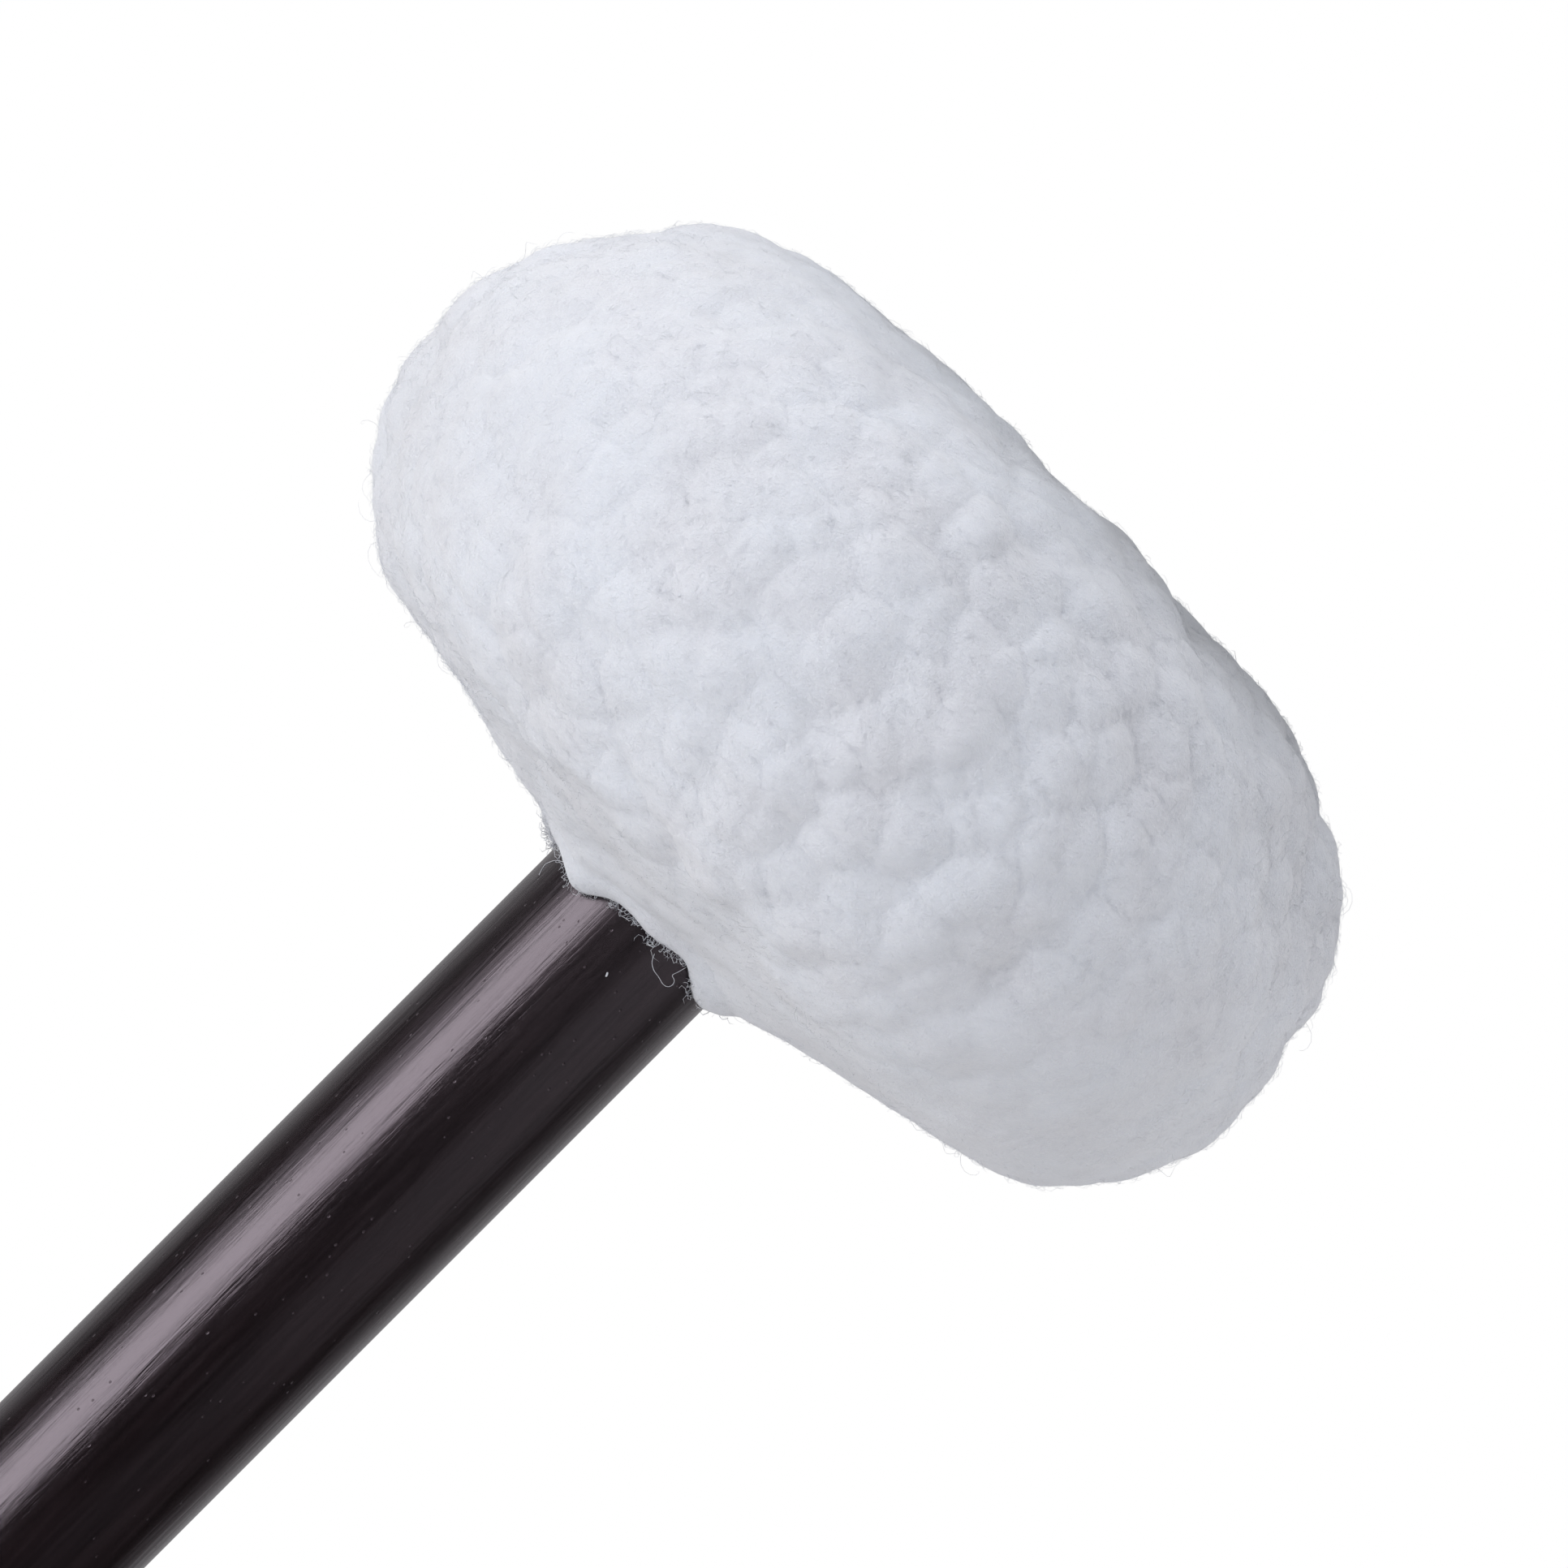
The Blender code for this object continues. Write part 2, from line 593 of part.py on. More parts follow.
def spun_skin(shape, profile):
    """Turns a profile once round the handle's axis and returns the points of the skin that it leaves."""
    known = {*shape.verts, *shape.edges}
    line = add_profile(shape, profile)
    geometry = [*line, *[edge for edge in shape.edges if edge not in known]]
    once_round = {"axis": (0, 0, 1), "cent": (0, 0, 0), "angle": math.tau, "steps": PILE_SEGMENTS}
    bmesh.ops.spin(shape, geom=geometry, use_merge=True, **once_round)
    return [point for point in shape.verts if point not in known]


def build_pile(parts):
    """The fleece's pile, between the cover's knit backing and the head's soft outer form."""
    material = finish("fleece_pile_white", (0.86, 0.87, 0.90), 1.0)
    outside = pile_outline()
    inside = [point for point in form_outline(PILE_INNER) if not 0 < point[0] < POCKET_RADIUS]
    pocket = [
        (POCKET_RADIUS, rear_height(POCKET_RADIUS, PILE_INNER)),
        (POCKET_RADIUS, LIP_FLOOR),
        (HANDLE_RADIUS + SEAT_GAP, LIP_FLOOR),
    ]
    shape = bmesh.new()
    raise_clumps(shape, spun_skin(shape, outside))
    lift_gathers(spun_skin(shape, [*inside, *pocket, outside[-1]]))
    bmesh.ops.remove_doubles(shape, verts=shape.verts, dist=MERGE_DISTANCE)
    bmesh.ops.recalc_face_normals(shape, faces=shape.faces)
    mesh = bpy.data.meshes.new("fleece_pile")
    shape.to_mesh(mesh)
    shape.free()
    mesh.shade_smooth()
    return place("fleece_pile", mesh, parts, material)


def main():
    clear_scene()
    parts = new_collection("gong_mallet")
    cutters = new_collection("cutters", hidden=True)
    build_handle(parts)
    build_core(parts)
    build_washer(parts)
    build_screw(parts, cutters)
    build_winding(parts)
    build_closing_stitch(parts)
    build_front_pad(parts)
    build_rear_pad(parts)
    build_lining(parts)
    build_backing(parts)
    build_binding(parts)
    build_pile(parts)


main()
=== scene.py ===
"""The looks of a gong mallet: its lacquered handle, the felt and cloth inside the head, and the fleece."""

import logging
import math
from collections.abc import Sequence
from dataclasses import dataclass
from enum import Enum

import bmesh
import bpy
import numpy as np
from mathutils import Matrix, Vector, noise


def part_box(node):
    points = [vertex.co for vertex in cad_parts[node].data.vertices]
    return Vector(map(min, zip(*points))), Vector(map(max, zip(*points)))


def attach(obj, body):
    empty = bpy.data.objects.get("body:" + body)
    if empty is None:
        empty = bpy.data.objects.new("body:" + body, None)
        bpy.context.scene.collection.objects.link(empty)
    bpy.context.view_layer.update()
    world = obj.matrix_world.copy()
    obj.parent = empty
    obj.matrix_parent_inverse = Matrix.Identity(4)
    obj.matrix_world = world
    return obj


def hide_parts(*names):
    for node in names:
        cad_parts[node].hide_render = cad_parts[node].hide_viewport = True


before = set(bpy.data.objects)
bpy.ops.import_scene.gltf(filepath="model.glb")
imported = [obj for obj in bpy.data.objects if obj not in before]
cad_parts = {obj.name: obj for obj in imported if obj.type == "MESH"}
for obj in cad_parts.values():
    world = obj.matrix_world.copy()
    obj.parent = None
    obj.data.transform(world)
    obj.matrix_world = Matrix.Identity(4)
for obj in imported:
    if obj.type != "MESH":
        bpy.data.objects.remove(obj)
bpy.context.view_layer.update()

log = logging.getLogger("gong_mallet")

Colour = tuple[float, float, float]
Point = tuple[float, float]
Place = tuple[float, float, float]
Socket = bpy.types.NodeSocket
Inputs = dict[str | int, object]

MM = 0.001
BODY = "root"
CLOTH_MAP = "cloth"
FIBRE_MAP = "OFBake"
SWIRL_WAYS = ((1, 1.7, -1), (-1.3, 0.6, 1.9), (2.1, -1.1, 0.4))
FLEECE_DRIFT = 13 * MM
WELD = 0.001 * MM
TINY = 1e-12
CELL_MARGIN = 0.2
PHOTO_PIXELS = 1932
MM_PER_PIXEL = 0.0926


class Paint(Enum):
    """Colours that more than one finish takes, in linear light."""

    FLEECE = (0.743, 0.770, 0.822)
    FLEECE_SHADE = (0.712, 0.722, 0.762)
    STUDIO_WHITE = (1.0, 1.0, 1.0)


class Along(Enum):
    """Which stretch of the fleece a set of fibres grows on, as shares of the outline from front to neck."""

    FRONT = (0.0, 0.36)
    RIM = (0.36, 0.62)
    SHOULDER = (0.62, 0.83)
    NECK = (0.83, 1.0)
    LIP = (0.984, 1.0)


# Node trees


class Nodes:
    """A node tree, with short ways to add and join its nodes."""

    def __init__(self, tree: bpy.types.NodeTree) -> None:
        """Takes the tree that the nodes go into."""
        self.tree = tree

    def add(self, kind: str, inputs: Inputs | None = None, **settings: object) -> bpy.types.Node:
        """Adds a node.

        Args:
            kind: The node's type.
            inputs: A value, or a socket to join, for each input's name or number.
            **settings: The node's own properties.

        Returns:
            The new node.
        """
        node = self.tree.nodes.new(kind)
        for key, value in settings.items():
            setattr(node, key, value)
        for key, value in (inputs or {}).items():
            self.feed(node.inputs[key], value)
        return node

    def feed(self, socket: Socket, value: object) -> None:
        """Joins an input to a socket, or sets its value.

        Args:
            socket: The input.
            value: A socket, a number or a colour.
        """
        if isinstance(value, bpy.types.NodeSocket):
            self.tree.links.new(value, socket)
        elif isinstance(value, tuple) and len(value) == 3 and socket.type == "RGBA":
            socket.default_value = (*value, 1.0)
        else:
            socket.default_value = value

    def ramp(
        self,
        value: Socket,
        low: float,
        high: float,
        start: float = 0.0,
        end: float = 1.0,
        easing: str = "LINEAR",
    ) -> Socket:
        """Stretches a value from the range low to high to the range start to end, and clamps it."""
        made = {"Value": value, "From Min": low, "From Max": high, "To Min": start, "To Max": end}
        return self.add("ShaderNodeMapRange", made, clamp=True, interpolation_type=easing).outputs["Result"]

    def maths(self, operation: str, first: Socket | float, second: Socket | float) -> Socket:
        """Joins two numbers by one of Blender's operations."""
        return self.add("ShaderNodeMath", {0: first, 1: second}, operation=operation).outputs[0]

    def seen(self, rest: Socket, camera: Socket) -> Socket:
        """Shows one shader to the camera, and the other to everything else."""
        ray = self.add("ShaderNodeLightPath").outputs["Is Camera Ray"]
        return self.add("ShaderNodeMixShader", {0: ray, 1: rest, 2: camera}).outputs[0]


class Surface(Nodes):
    """A material's nodes, round one Principled shader."""

    def __init__(self, name: str) -> None:
        """Starts the material.

        Args:
            name: The material's name.
        """
        self.material = bpy.data.materials.new(name)
        self.material.use_nodes = True
        super().__init__(self.material.node_tree)
        self.shader = self.tree.nodes["Principled BSDF"]
        self.output = self.tree.nodes["Material Output"]

    def shade(self, **inputs: object) -> None:
        """Sets the Principled shader's inputs, with underscores for the spaces in their names."""
        for key, value in inputs.items():
            self.feed(self.shader.inputs[key.replace("_", " ")], value)

    def place(self, stretch: Place = (1, 1, 1)) -> Socket:
        """Object coordinates; a small factor draws a pattern out along its axis."""
        where = self.add("ShaderNodeTexCoord").outputs["Object"]
        return self.add("ShaderNodeMapping", {"Vector": where, "Scale": stretch}).outputs["Vector"]

    def noise(self, where: Socket, size: float, detail: float = 2.0, roughness: float = 0.5) -> Socket:
        """A cloud pattern from 0 to 1: lumps of a size in metres, with a number of finer layers."""
        made = {"Vector": where, "Scale": 1 / size, "Detail": detail, "Roughness": roughness}
        return self.add("ShaderNodeTexNoise", made).outputs["Fac"]

    def dots(self, where: Socket, spacing: float, inner: float, outer: float) -> Socket:
        """Small dots at uneven places: 0 within a share of their spacing, and 1 beyond a larger share."""
        cells = self.add("ShaderNodeTexVoronoi", {"Vector": where, "Scale": 1 / spacing})
        return self.ramp(cells.outputs["Distance"], inner, outer)

    def mix(self, share: Socket, first: Colour | Socket, second: Colour | Socket) -> Socket:
        """Blends two colours by how much of the second one shows."""
        return self.add("ShaderNodeMix", {"Factor": share, 6: first, 7: second}, data_type="RGBA").outputs[2]

    def blend(self, share: Socket | float, first: Socket | float, second: Socket | float) -> Socket:
        """Blends two numbers by a share from 0 to 1."""
        return self.add("ShaderNodeMix", {"Factor": share, 2: first, 3: second}, data_type="FLOAT").outputs[0]

    def wave(self, where: Socket, pitch: float) -> Socket:
        """A sine along a coordinate, which crosses zero once in each pitch."""
        return self.maths("SINE", self.maths("MULTIPLY", where, math.pi / pitch), 0.0)

    def humps(self, where: Socket, pitch: float) -> Socket:
        """Rounded humps from 0 to 1 along a coordinate, one in each pitch."""
        return self.maths("ABSOLUTE", self.wave(where, pitch), 0.0)

    def cloth(self) -> bpy.types.bpy_prop_collection:
        """Coordinates along and across a cloth, as the X and Y of its own map."""
        where = self.add("ShaderNodeUVMap", uv_map=CLOTH_MAP).outputs["UV"]
        return self.add("ShaderNodeSeparateXYZ", {0: where}).outputs

    def across(self) -> Socket:
        """The distance from the handle's axis."""
        flat = self.place((1, 1, 0))
        return self.add("ShaderNodeVectorMath", {0: flat}, operation="LENGTH").outputs["Value"]

    def bump(self, height: Socket, depth: float, normal: Socket | None = None) -> Socket:
        """Relief from a height pattern.

        Args:
            height: The pattern, from 0 to 1.
            depth: How deep it goes, in metres.
            normal: The relief that it lies on.

        Returns:
            The normal's socket.
        """
        made = {"Height": height, "Distance": depth, "Strength": 1.0}
        if normal is not None:
            made["Normal"] = normal
        return self.add("ShaderNodeBump", made).outputs["Normal"]


# Finishes


@dataclass(frozen=True)
class Lacquer:
    """Very dark red-brown stain under a clear gloss lacquer, with grain, pores and specks of dust."""

    name: str = "dark_lacquered_wood"
    stain: Colour = (0.0034, 0.0007, 0.0008)
    grain: Colour = (0.0016, 0.0007, 0.0009)
    worn: Colour = (0.085, 0.036, 0.022)
    shine: Colour = (1.0, 0.83, 0.94)
    shine_level: float = 0.85
    wear_height: float = 397.5 * MM
    wear_edge: float = 1.4 * MM
    wear_patch: float = 2.2 * MM
    wear_wander: Point = (-2.2 * MM, 1.8 * MM)
    stain_roughness: tuple[float, float] = (0.18, 0.27)
    pore_roughness: float = 0.38
    gloss_roughness: float = 0.16
    gloss: float = 0.3
    dusty_gloss: float = 0.1
    streak: float = 0.9 * MM
    broad_figure: float = 6 * MM
    broad_share: float = 0.45
    pore_spacing: float = 1.4 * MM
    dust_spacing: float = 3.4 * MM
    ripple: float = 3.2 * MM
    ripple_depth: float = 0.018 * MM
    grain_depth: float = 0.022 * MM
    pore_depth: float = 0.020 * MM
    stain_depth: float = 0.03 * MM

    def material(self) -> bpy.types.Material:
        """Draws the finish.

        Returns:
            The material.
        """
        made = Surface(self.name)
        lengthways = made.place((1, 1, 0.045))
        streaks = made.noise(lengthways, self.streak, 5, 0.62)
        figure = made.blend(self.broad_share, streaks, made.noise(lengthways, self.broad_figure, 3))
        colour = made.mix(made.ramp(figure, 0.38, 0.64), self.grain, self.stain)
        height = made.add("ShaderNodeSeparateXYZ", {0: made.place()}).outputs["Z"]
        patches = made.noise(made.place(), self.wear_patch, 4)
        uneven = made.ramp(patches, 0.3, 0.7, *self.wear_wander)
        chafed = made.maths("ADD", height, uneven)
        worn = made.ramp(chafed, self.wear_height, self.wear_height + self.wear_edge)
        pore = made.dots(made.place((1, 1, 0.6)), self.pore_spacing, 0.05, 0.10)
        clean = made.dots(made.place(), self.dust_spacing, 0.022, 0.040)
        gloss = made.ramp(clean, 0.0, 1.0, self.dusty_gloss, self.gloss)
        ripples = made.bump(made.noise(made.place((1, 1, 0.3)), self.ripple, 2), self.ripple_depth)
        grainy = made.bump(made.ramp(streaks, 0.3, 0.7), self.grain_depth, ripples)
        pitted = made.bump(pore, self.pore_depth, grainy)
        satin = made.ramp(streaks, 0.3, 0.7, *self.stain_roughness)
        made.shade(
            Base_Color=made.mix(worn, colour, self.worn),
            Roughness=made.blend(pore, self.pore_roughness, satin),
            Specular_IOR_Level=self.shine_level,
            Specular_Tint=self.shine,
            Normal=made.bump(streaks, self.stain_depth, pitted),
            Coat_Weight=made.maths("MULTIPLY", gloss, pore),
            Coat_Roughness=self.gloss_roughness,
            Coat_Normal=pitted,
        )
        return made.material


@dataclass(frozen=True)
class FleecePile:
    """Long, soft, clumped white pile: slightly cool, without shine, and lit through by what falls on it."""

    name: str = "fleece_body"
    tips: Colour = (0.77, 0.79, 0.825)
    lit_through: float = 0.65
    depth_of_light: float = 1.4 * MM
    tuft: float = 1.6 * MM
    tuft_depth: float = 0.16 * MM
    fuzz: float = 0.36 * MM
    fuzz_depth: float = 0.30 * MM
    fleck: float = 0.9 * MM
    bloom: float = 0.5

    def material(self) -> bpy.types.Material:
        """Draws the finish.

        Returns:
            The material.
        """
        made = Surface(self.name)
        where = made.place()
        drifts = made.ramp(made.noise(where, FLEECE_DRIFT, 3), 0.35, 0.65)
        flecks = made.ramp(made.noise(where, self.fleck, 2), 0.3, 0.75)
        cool = made.mix(drifts, Paint.FLEECE_SHADE.value, Paint.FLEECE.value)
        tufts = made.bump(made.noise(where, self.tuft, 3, 0.55), self.tuft_depth)
        made.shade(
            Base_Color=made.mix(made.ramp(flecks, 0, 1, 0, 0.55), cool, self.tips),
            Roughness=0.95,
            Specular_IOR_Level=0.12,
            Normal=made.bump(made.noise(where, self.fuzz, 3, 0.7), self.fuzz_depth, tufts),
            Subsurface_Weight=self.lit_through,
            Subsurface_Radius=(1.0, 1.0, 1.0),
            Subsurface_Scale=self.depth_of_light,
            Sheen_Weight=self.bloom,
            Sheen_Roughness=0.5,
        )
        return made.material


@dataclass(frozen=True)
class FleeceFibre:
    """Single fibres of the pile: pale and thin enough that light passes through them."""

    name: str = "fleece_fibres"
    cool: Colour = (0.82, 0.832, 0.868)
    pale: Colour = (0.90, 0.906, 0.925)
    passes: float = 0.35
    spacing: float = 0.5 * MM

    def material(self) -> bpy.types.Material:
        """Draws the finish.

        Returns:
            The material.
        """
        made = Surface(self.name)
        where = made.place()
        drifts = made.ramp(made.noise(where, FLEECE_DRIFT, 3), 0.35, 0.65)
        single = made.ramp(made.noise(where, self.spacing, 2), 0.3, 0.7, 0, 0.8)
        colour = made.mix(single, made.mix(drifts, Paint.FLEECE.value, self.cool), self.pale)
        made.shade(Base_Color=colour, Roughness=0.7, Specular_IOR_Level=0.2)
        through = made.add("ShaderNodeBsdfTranslucent", {"Color": colour}).outputs[0]
        both = {0: self.passes, 1: made.shader.outputs[0], 2: through}
        made.feed(made.output.inputs["Surface"], made.add("ShaderNodeMixShader", both).outputs[0])
        return made.material


@dataclass(frozen=True)
class WoolFelt:
    """Pressed wool felt, matted in all directions, with darker hairs here and there."""

    name: str
    wool: Colour
    shade: Colour
    hairs: Colour
    cloud: float = 7 * MM
    mat: float = 0.42 * MM
    mat_depth: float = 0.16 * MM
    hair: float = 0.5 * MM
    hair_depth: float = 0.08 * MM
    ways: tuple[Place, ...] = ((1, 0.1, 0.6), (0.1, 1, 0.6), (0.7, 0.7, 0.1))

    def material(self) -> bpy.types.Material:
        """Draws the finish.

        Returns:
            The material.
        """
        made = Surface(self.name)
        where = made.place()
        clouds = made.ramp(made.noise(where, self.cloud, 4), 0.35, 0.65)
        matted = made.noise(where, self.mat, 5, 0.7)
        first, second, third = (made.noise(made.place(way), self.hair, 2) for way in self.ways)
        hair = made.ramp(made.maths("MAXIMUM", made.maths("MAXIMUM", first, second), third), 0.66, 0.74)
        cloudy = made.mix(clouds, self.shade, self.wool)
        wool = made.mix(made.ramp(matted, 0.35, 0.65, 0.0, 0.5), cloudy, self.shade)
        made.shade(
            Base_Color=made.mix(made.maths("MULTIPLY", hair, 0.55), wool, self.hairs),
            Roughness=0.95,
            Specular_IOR_Level=0.15,
            Normal=made.bump(hair, self.hair_depth, made.bump(matted, self.mat_depth)),
            Sheen_Weight=0.35,
            Sheen_Roughness=0.5,
        )
        return made.material


@dataclass(frozen=True)
class Cotton:
    """Unbleached plain weave, in which warp and weft pass over and under each other, with painted shade in
    its low places.
    """

    name: str = "unbleached_cotton"
    yarn: Colour = (0.72, 0.69, 0.62)
    # the slubs' darker yarn tone, also the painted shade where the weave lies low
    shade: Colour = (0.55, 0.51, 0.43)
    husks: Colour = (0.34, 0.25, 0.15)
    pitch: float = 0.55 * MM
    depth: float = 0.12 * MM
    slub: float = 1.2 * MM
    husk: float = 0.5 * MM
    fuzz: float = 0.15 * MM
    fuzz_depth: float = 0.03 * MM

    def material(self) -> bpy.types.Material:
        """Draws the finish.

        Returns:
            The material.
        """
        made = Surface(self.name)
        cloth = made.cloth()
        warp, weft = (made.wave(cloth[axis], self.pitch) for axis in ("X", "Y"))
        round_warp, round_weft = (made.humps(cloth[axis], self.pitch) for axis in ("X", "Y"))
        warp_over = made.ramp(made.maths("MULTIPLY", warp, weft), -0.02, 0.02)
        crowns = [
            made.maths("MULTIPLY", across, made.ramp(onward, 0, 1, 0.55, 1))
            for across, onward in ((round_warp, round_weft), (round_weft, round_warp))
        ]
        height = made.blend(warp_over, crowns[1], crowns[0])
        slubs = made.noise(made.place((0.3, 1, 1)), self.slub, 3)
        yarn = made.mix(made.ramp(slubs, 0.35, 0.65), self.shade, self.yarn)
        husk = made.ramp(made.noise(made.place(), self.husk, 2), 0.72, 0.76)
        # painted shade: the colour darkens towards shade where the weave lies low between the crossings, up
        # to 0.65 of the way
        deep = made.ramp(height, 0.15, 0.75, 0.65, 0.0)
        woven = made.bump(height, self.depth)
        made.shade(
            Base_Color=made.mix(husk, made.mix(deep, yarn, self.shade), self.husks),
            Roughness=0.9,
            Specular_IOR_Level=0.2,
            Normal=made.bump(made.noise(made.place(), self.fuzz, 3), self.fuzz_depth, woven),
            Sheen_Weight=0.1,
        )
        return made.material


@dataclass(frozen=True)
class Knit:
    """The white knit ground of the fleece: wales of nested loops, with painted shade where they lie low."""

    name: str = "white_knit"
    yarn: Colour = (0.78, 0.78, 0.78)
    # painted shade: the colour the loops darken to where they lie low
    shade: Colour = (0.55, 0.56, 0.60)
    wale: float = 1.5 * MM
    course: float = 1.05 * MM
    slant: float = 0.9
    depth: float = 0.35 * MM
    fuzz: float = 0.3 * MM
    fuzz_depth: float = 0.08 * MM

    def material(self) -> bpy.types.Material:
        """Draws the finish.

        Returns:
            The material.
        """
        made = Surface(self.name)
        cloth = made.cloth()
        lean = made.maths("MULTIPLY", made.humps(cloth["X"], self.wale), self.slant * self.course)
        loops = made.humps(made.maths("ADD", cloth["Y"], lean), self.course)
        split = made.humps(cloth["X"], self.wale / 2)
        height = made.maths("MULTIPLY", made.maths("POWER", loops, 0.7), made.ramp(split, 0, 0.8, 0.35, 1))
        fuzz = made.noise(made.place(), self.fuzz, 4, 0.7)
        made.shade(
            # painted shade: darker where the loops lie low, lighter on their crowns
            Base_Color=made.mix(made.ramp(height, 0.1, 0.8), self.shade, self.yarn),
            Roughness=0.92,
            Specular_IOR_Level=0.2,
            Normal=made.bump(fuzz, self.fuzz_depth, made.bump(height, self.depth)),
            Sheen_Weight=0.2,
        )
        return made.material


@dataclass(frozen=True)
class SpunYarn:
    """Twisted linen or twine, whose plies are in its shape: uneven in colour, waxed or dry."""

    name: str
    fibre: Colour
    shade: Colour
    roughness: float
    wax: float
    streak: float = 0.22 * MM
    streak_depth: float = 0.04 * MM
    slub: float = 3.5 * MM

    def material(self) -> bpy.types.Material:
        """Draws the finish.

        Returns:
            The material.
        """
        made = Surface(self.name)
        where = made.place()
        streaks = made.ramp(made.noise(where, self.streak, 4, 0.65), 0.3, 0.7)
        slubs = made.ramp(made.noise(where, self.slub, 2), 0.35, 0.65, 0.2, 1.0)
        made.shade(
            Base_Color=made.mix(made.maths("MULTIPLY", streaks, slubs), self.shade, self.fibre),
            Roughness=self.roughness,
            Specular_IOR_Level=0.35,
            Normal=made.bump(streaks, self.streak_depth),
            Coat_Weight=self.wax,
            Coat_Roughness=0.45,
        )
        return made.material


@dataclass(frozen=True)
class TurnedHardwood:
    """Unfinished hardwood turned from a board, with its grain lying across the handle's axis."""

    name: str = "turned_hardwood"
    early: Colour = (0.48, 0.31, 0.18)
    late: Colour = (0.39, 0.24, 0.13)
    heart: Place = (0, 70 * MM, -35 * MM)
    ring: float = 2.6 * MM
    wander: float = 14 * MM
    wander_depth: float = 5 * MM
    pore: float = 0.35 * MM
    pore_depth: float = 0.06 * MM
    tool_mark: float = 0.8 * MM
    tool_depth: float = 0.02 * MM

    def material(self) -> bpy.types.Material:
        """Draws the finish.

        Returns:
            The material.
        """
        made = Surface(self.name)
        grain = made.place((0.06, 1, 1))
        bent = made.add("ShaderNodeVectorMath", {0: grain, 1: self.heart}, operation="ADD").outputs["Vector"]
        away = made.add("ShaderNodeVectorMath", {0: bent}, operation="LENGTH").outputs["Value"]
        wander = made.ramp(made.noise(grain, self.wander, 3), 0, 1, 0, self.wander_depth)
        rings = made.humps(made.maths("ADD", away, wander), self.ring)
        pores = made.ramp(made.noise(grain, self.pore, 3, 0.6), 0.60, 0.70)
        wood = made.mix(made.ramp(made.maths("POWER", rings, 3.0), 0, 1), self.early, self.late)
        tool = made.bump(made.humps(made.across(), self.tool_mark), self.tool_depth)
        made.shade(
            Base_Color=made.mix(made.maths("MULTIPLY", pores, 0.5), wood, self.late),
            Roughness=made.ramp(rings, 0, 1, 0.62, 0.52),
            Specular_IOR_Level=0.3,
            Normal=made.bump(made.maths("SUBTRACT", 1.0, pores), self.pore_depth, tool),
        )
        return made.material


@dataclass(frozen=True)
class ZincPlate:
    """Bright zinc plate, a little cloudy, with fine tool marks round the axis."""

    name: str
    zinc: Colour
    cloudy: Colour = (0.42, 0.44, 0.47)
    cloud: float = 2.4 * MM
    mark: float = 0.12 * MM
    mark_depth: float = 0.012 * MM

    def material(self) -> bpy.types.Material:
        """Draws the finish.

        Returns:
            The material.
        """
        made = Surface(self.name)
        where = made.place()
        clouds = made.ramp(made.noise(where, self.cloud, 5, 0.65), 0.35, 0.7)
        rings = made.add("ShaderNodeCombineXYZ", {"X": made.across()}).outputs["Vector"]
        marks = made.noise(rings, self.mark, 3)
        made.shade(
            Base_Color=made.mix(clouds, self.zinc, self.cloudy),
            Metallic=1.0,
            Roughness=made.ramp(clouds, 0, 1, 0.24, 0.46),
            Normal=made.bump(marks, self.mark_depth),
        )
        return made.material


@dataclass(frozen=True)
class PaleFloor:
    """A plain white sweep that glows with painted light, more on the key light's side, and is burnt out in
    the picture.
    """

    name: str = "pale_floor"
    colour: Colour = (0.86, 0.86, 0.87)
    # the floor's painted glow: dim on the far side, bright on the key light's side
    dim: float = 0.19
    bright: float = 0.36
    reach: float = 120 * MM

    def material(self) -> bpy.types.Material:
        """Draws the finish.

        Returns:
            The material.
        """
        made = Surface(self.name)
        aside = made.add("ShaderNodeSeparateXYZ", {0: made.place()}).outputs["X"]
        made.shade(
            Base_Color=self.colour,
            Roughness=0.8,
            Specular_IOR_Level=0.1,
            # painted light: the floor glows and so lights the head, from dim at -X to bright at +X; the
            # camera sees only plain white
            Emission_Color=Paint.STUDIO_WHITE.value,
            Emission_Strength=made.ramp(aside, -self.reach, self.reach, self.dim, self.bright),
        )
        white = made.add("ShaderNodeEmission", {"Color": Paint.STUDIO_WHITE.value, "Strength": 1.0})
        made.feed(made.output.inputs["Surface"], made.seen(made.shader.outputs[0], white.outputs[0]))
        return made.material


# Meshes


def dress(piece: bpy.types.Object, slot: str, *nodes: str) -> bpy.types.Object:
    """Lets a piece ride with the mallet and hides the CAD nodes that it stands for.

    Args:
        piece: The piece, in place.
        slot: Not used.
        *nodes: The CAD nodes that it replaces.

    Returns:
        The piece.
    """
    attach(piece, BODY)
    if nodes:
        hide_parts(*nodes)
    log.info("%s: %d faces", piece.name, len(piece.data.polygons))
    return piece


def placed(name: str, data: bpy.types.ID) -> bpy.types.Object:
    """Puts a new object in the scene.

    Args:
        name: The object's name.
        data: Its mesh, lamp or camera.

    Returns:
        The object.
    """
    made = bpy.data.objects.new(name, data)
    bpy.context.scene.collection.objects.link(made)
    return made


def finished(name: str, mesh: bpy.types.Mesh, material: bpy.types.Material) -> bpy.types.Object:
    """Puts a smooth object in the scene.

    Args:
        name: The object's name.
        mesh: Its mesh.
        material: Its one material.

    Returns:
        The object.
    """
    mesh.shade_smooth()
    mesh.materials.append(material)
    return placed(name, mesh)


def object_from(
    name: str,
    shape: bmesh.types.BMesh,
    material: bpy.types.Material,
    sharp: float | None = None,
) -> bpy.types.Object:
    """Turns a bmesh into a smooth object with one material.

    Args:
        name: The object's name.
        shape: The bmesh, which is freed.
        material: Its finish.
        sharp: The angle in degrees from which an edge stays sharp.

    Returns:
        The object.
    """
    mesh = bpy.data.meshes.new(name)
    shape.to_mesh(mesh)
    shape.free()
    made = finished(name, mesh, material)
    if sharp is not None:
        mesh.set_sharp_from_angle(angle=math.radians(sharp))
    return made


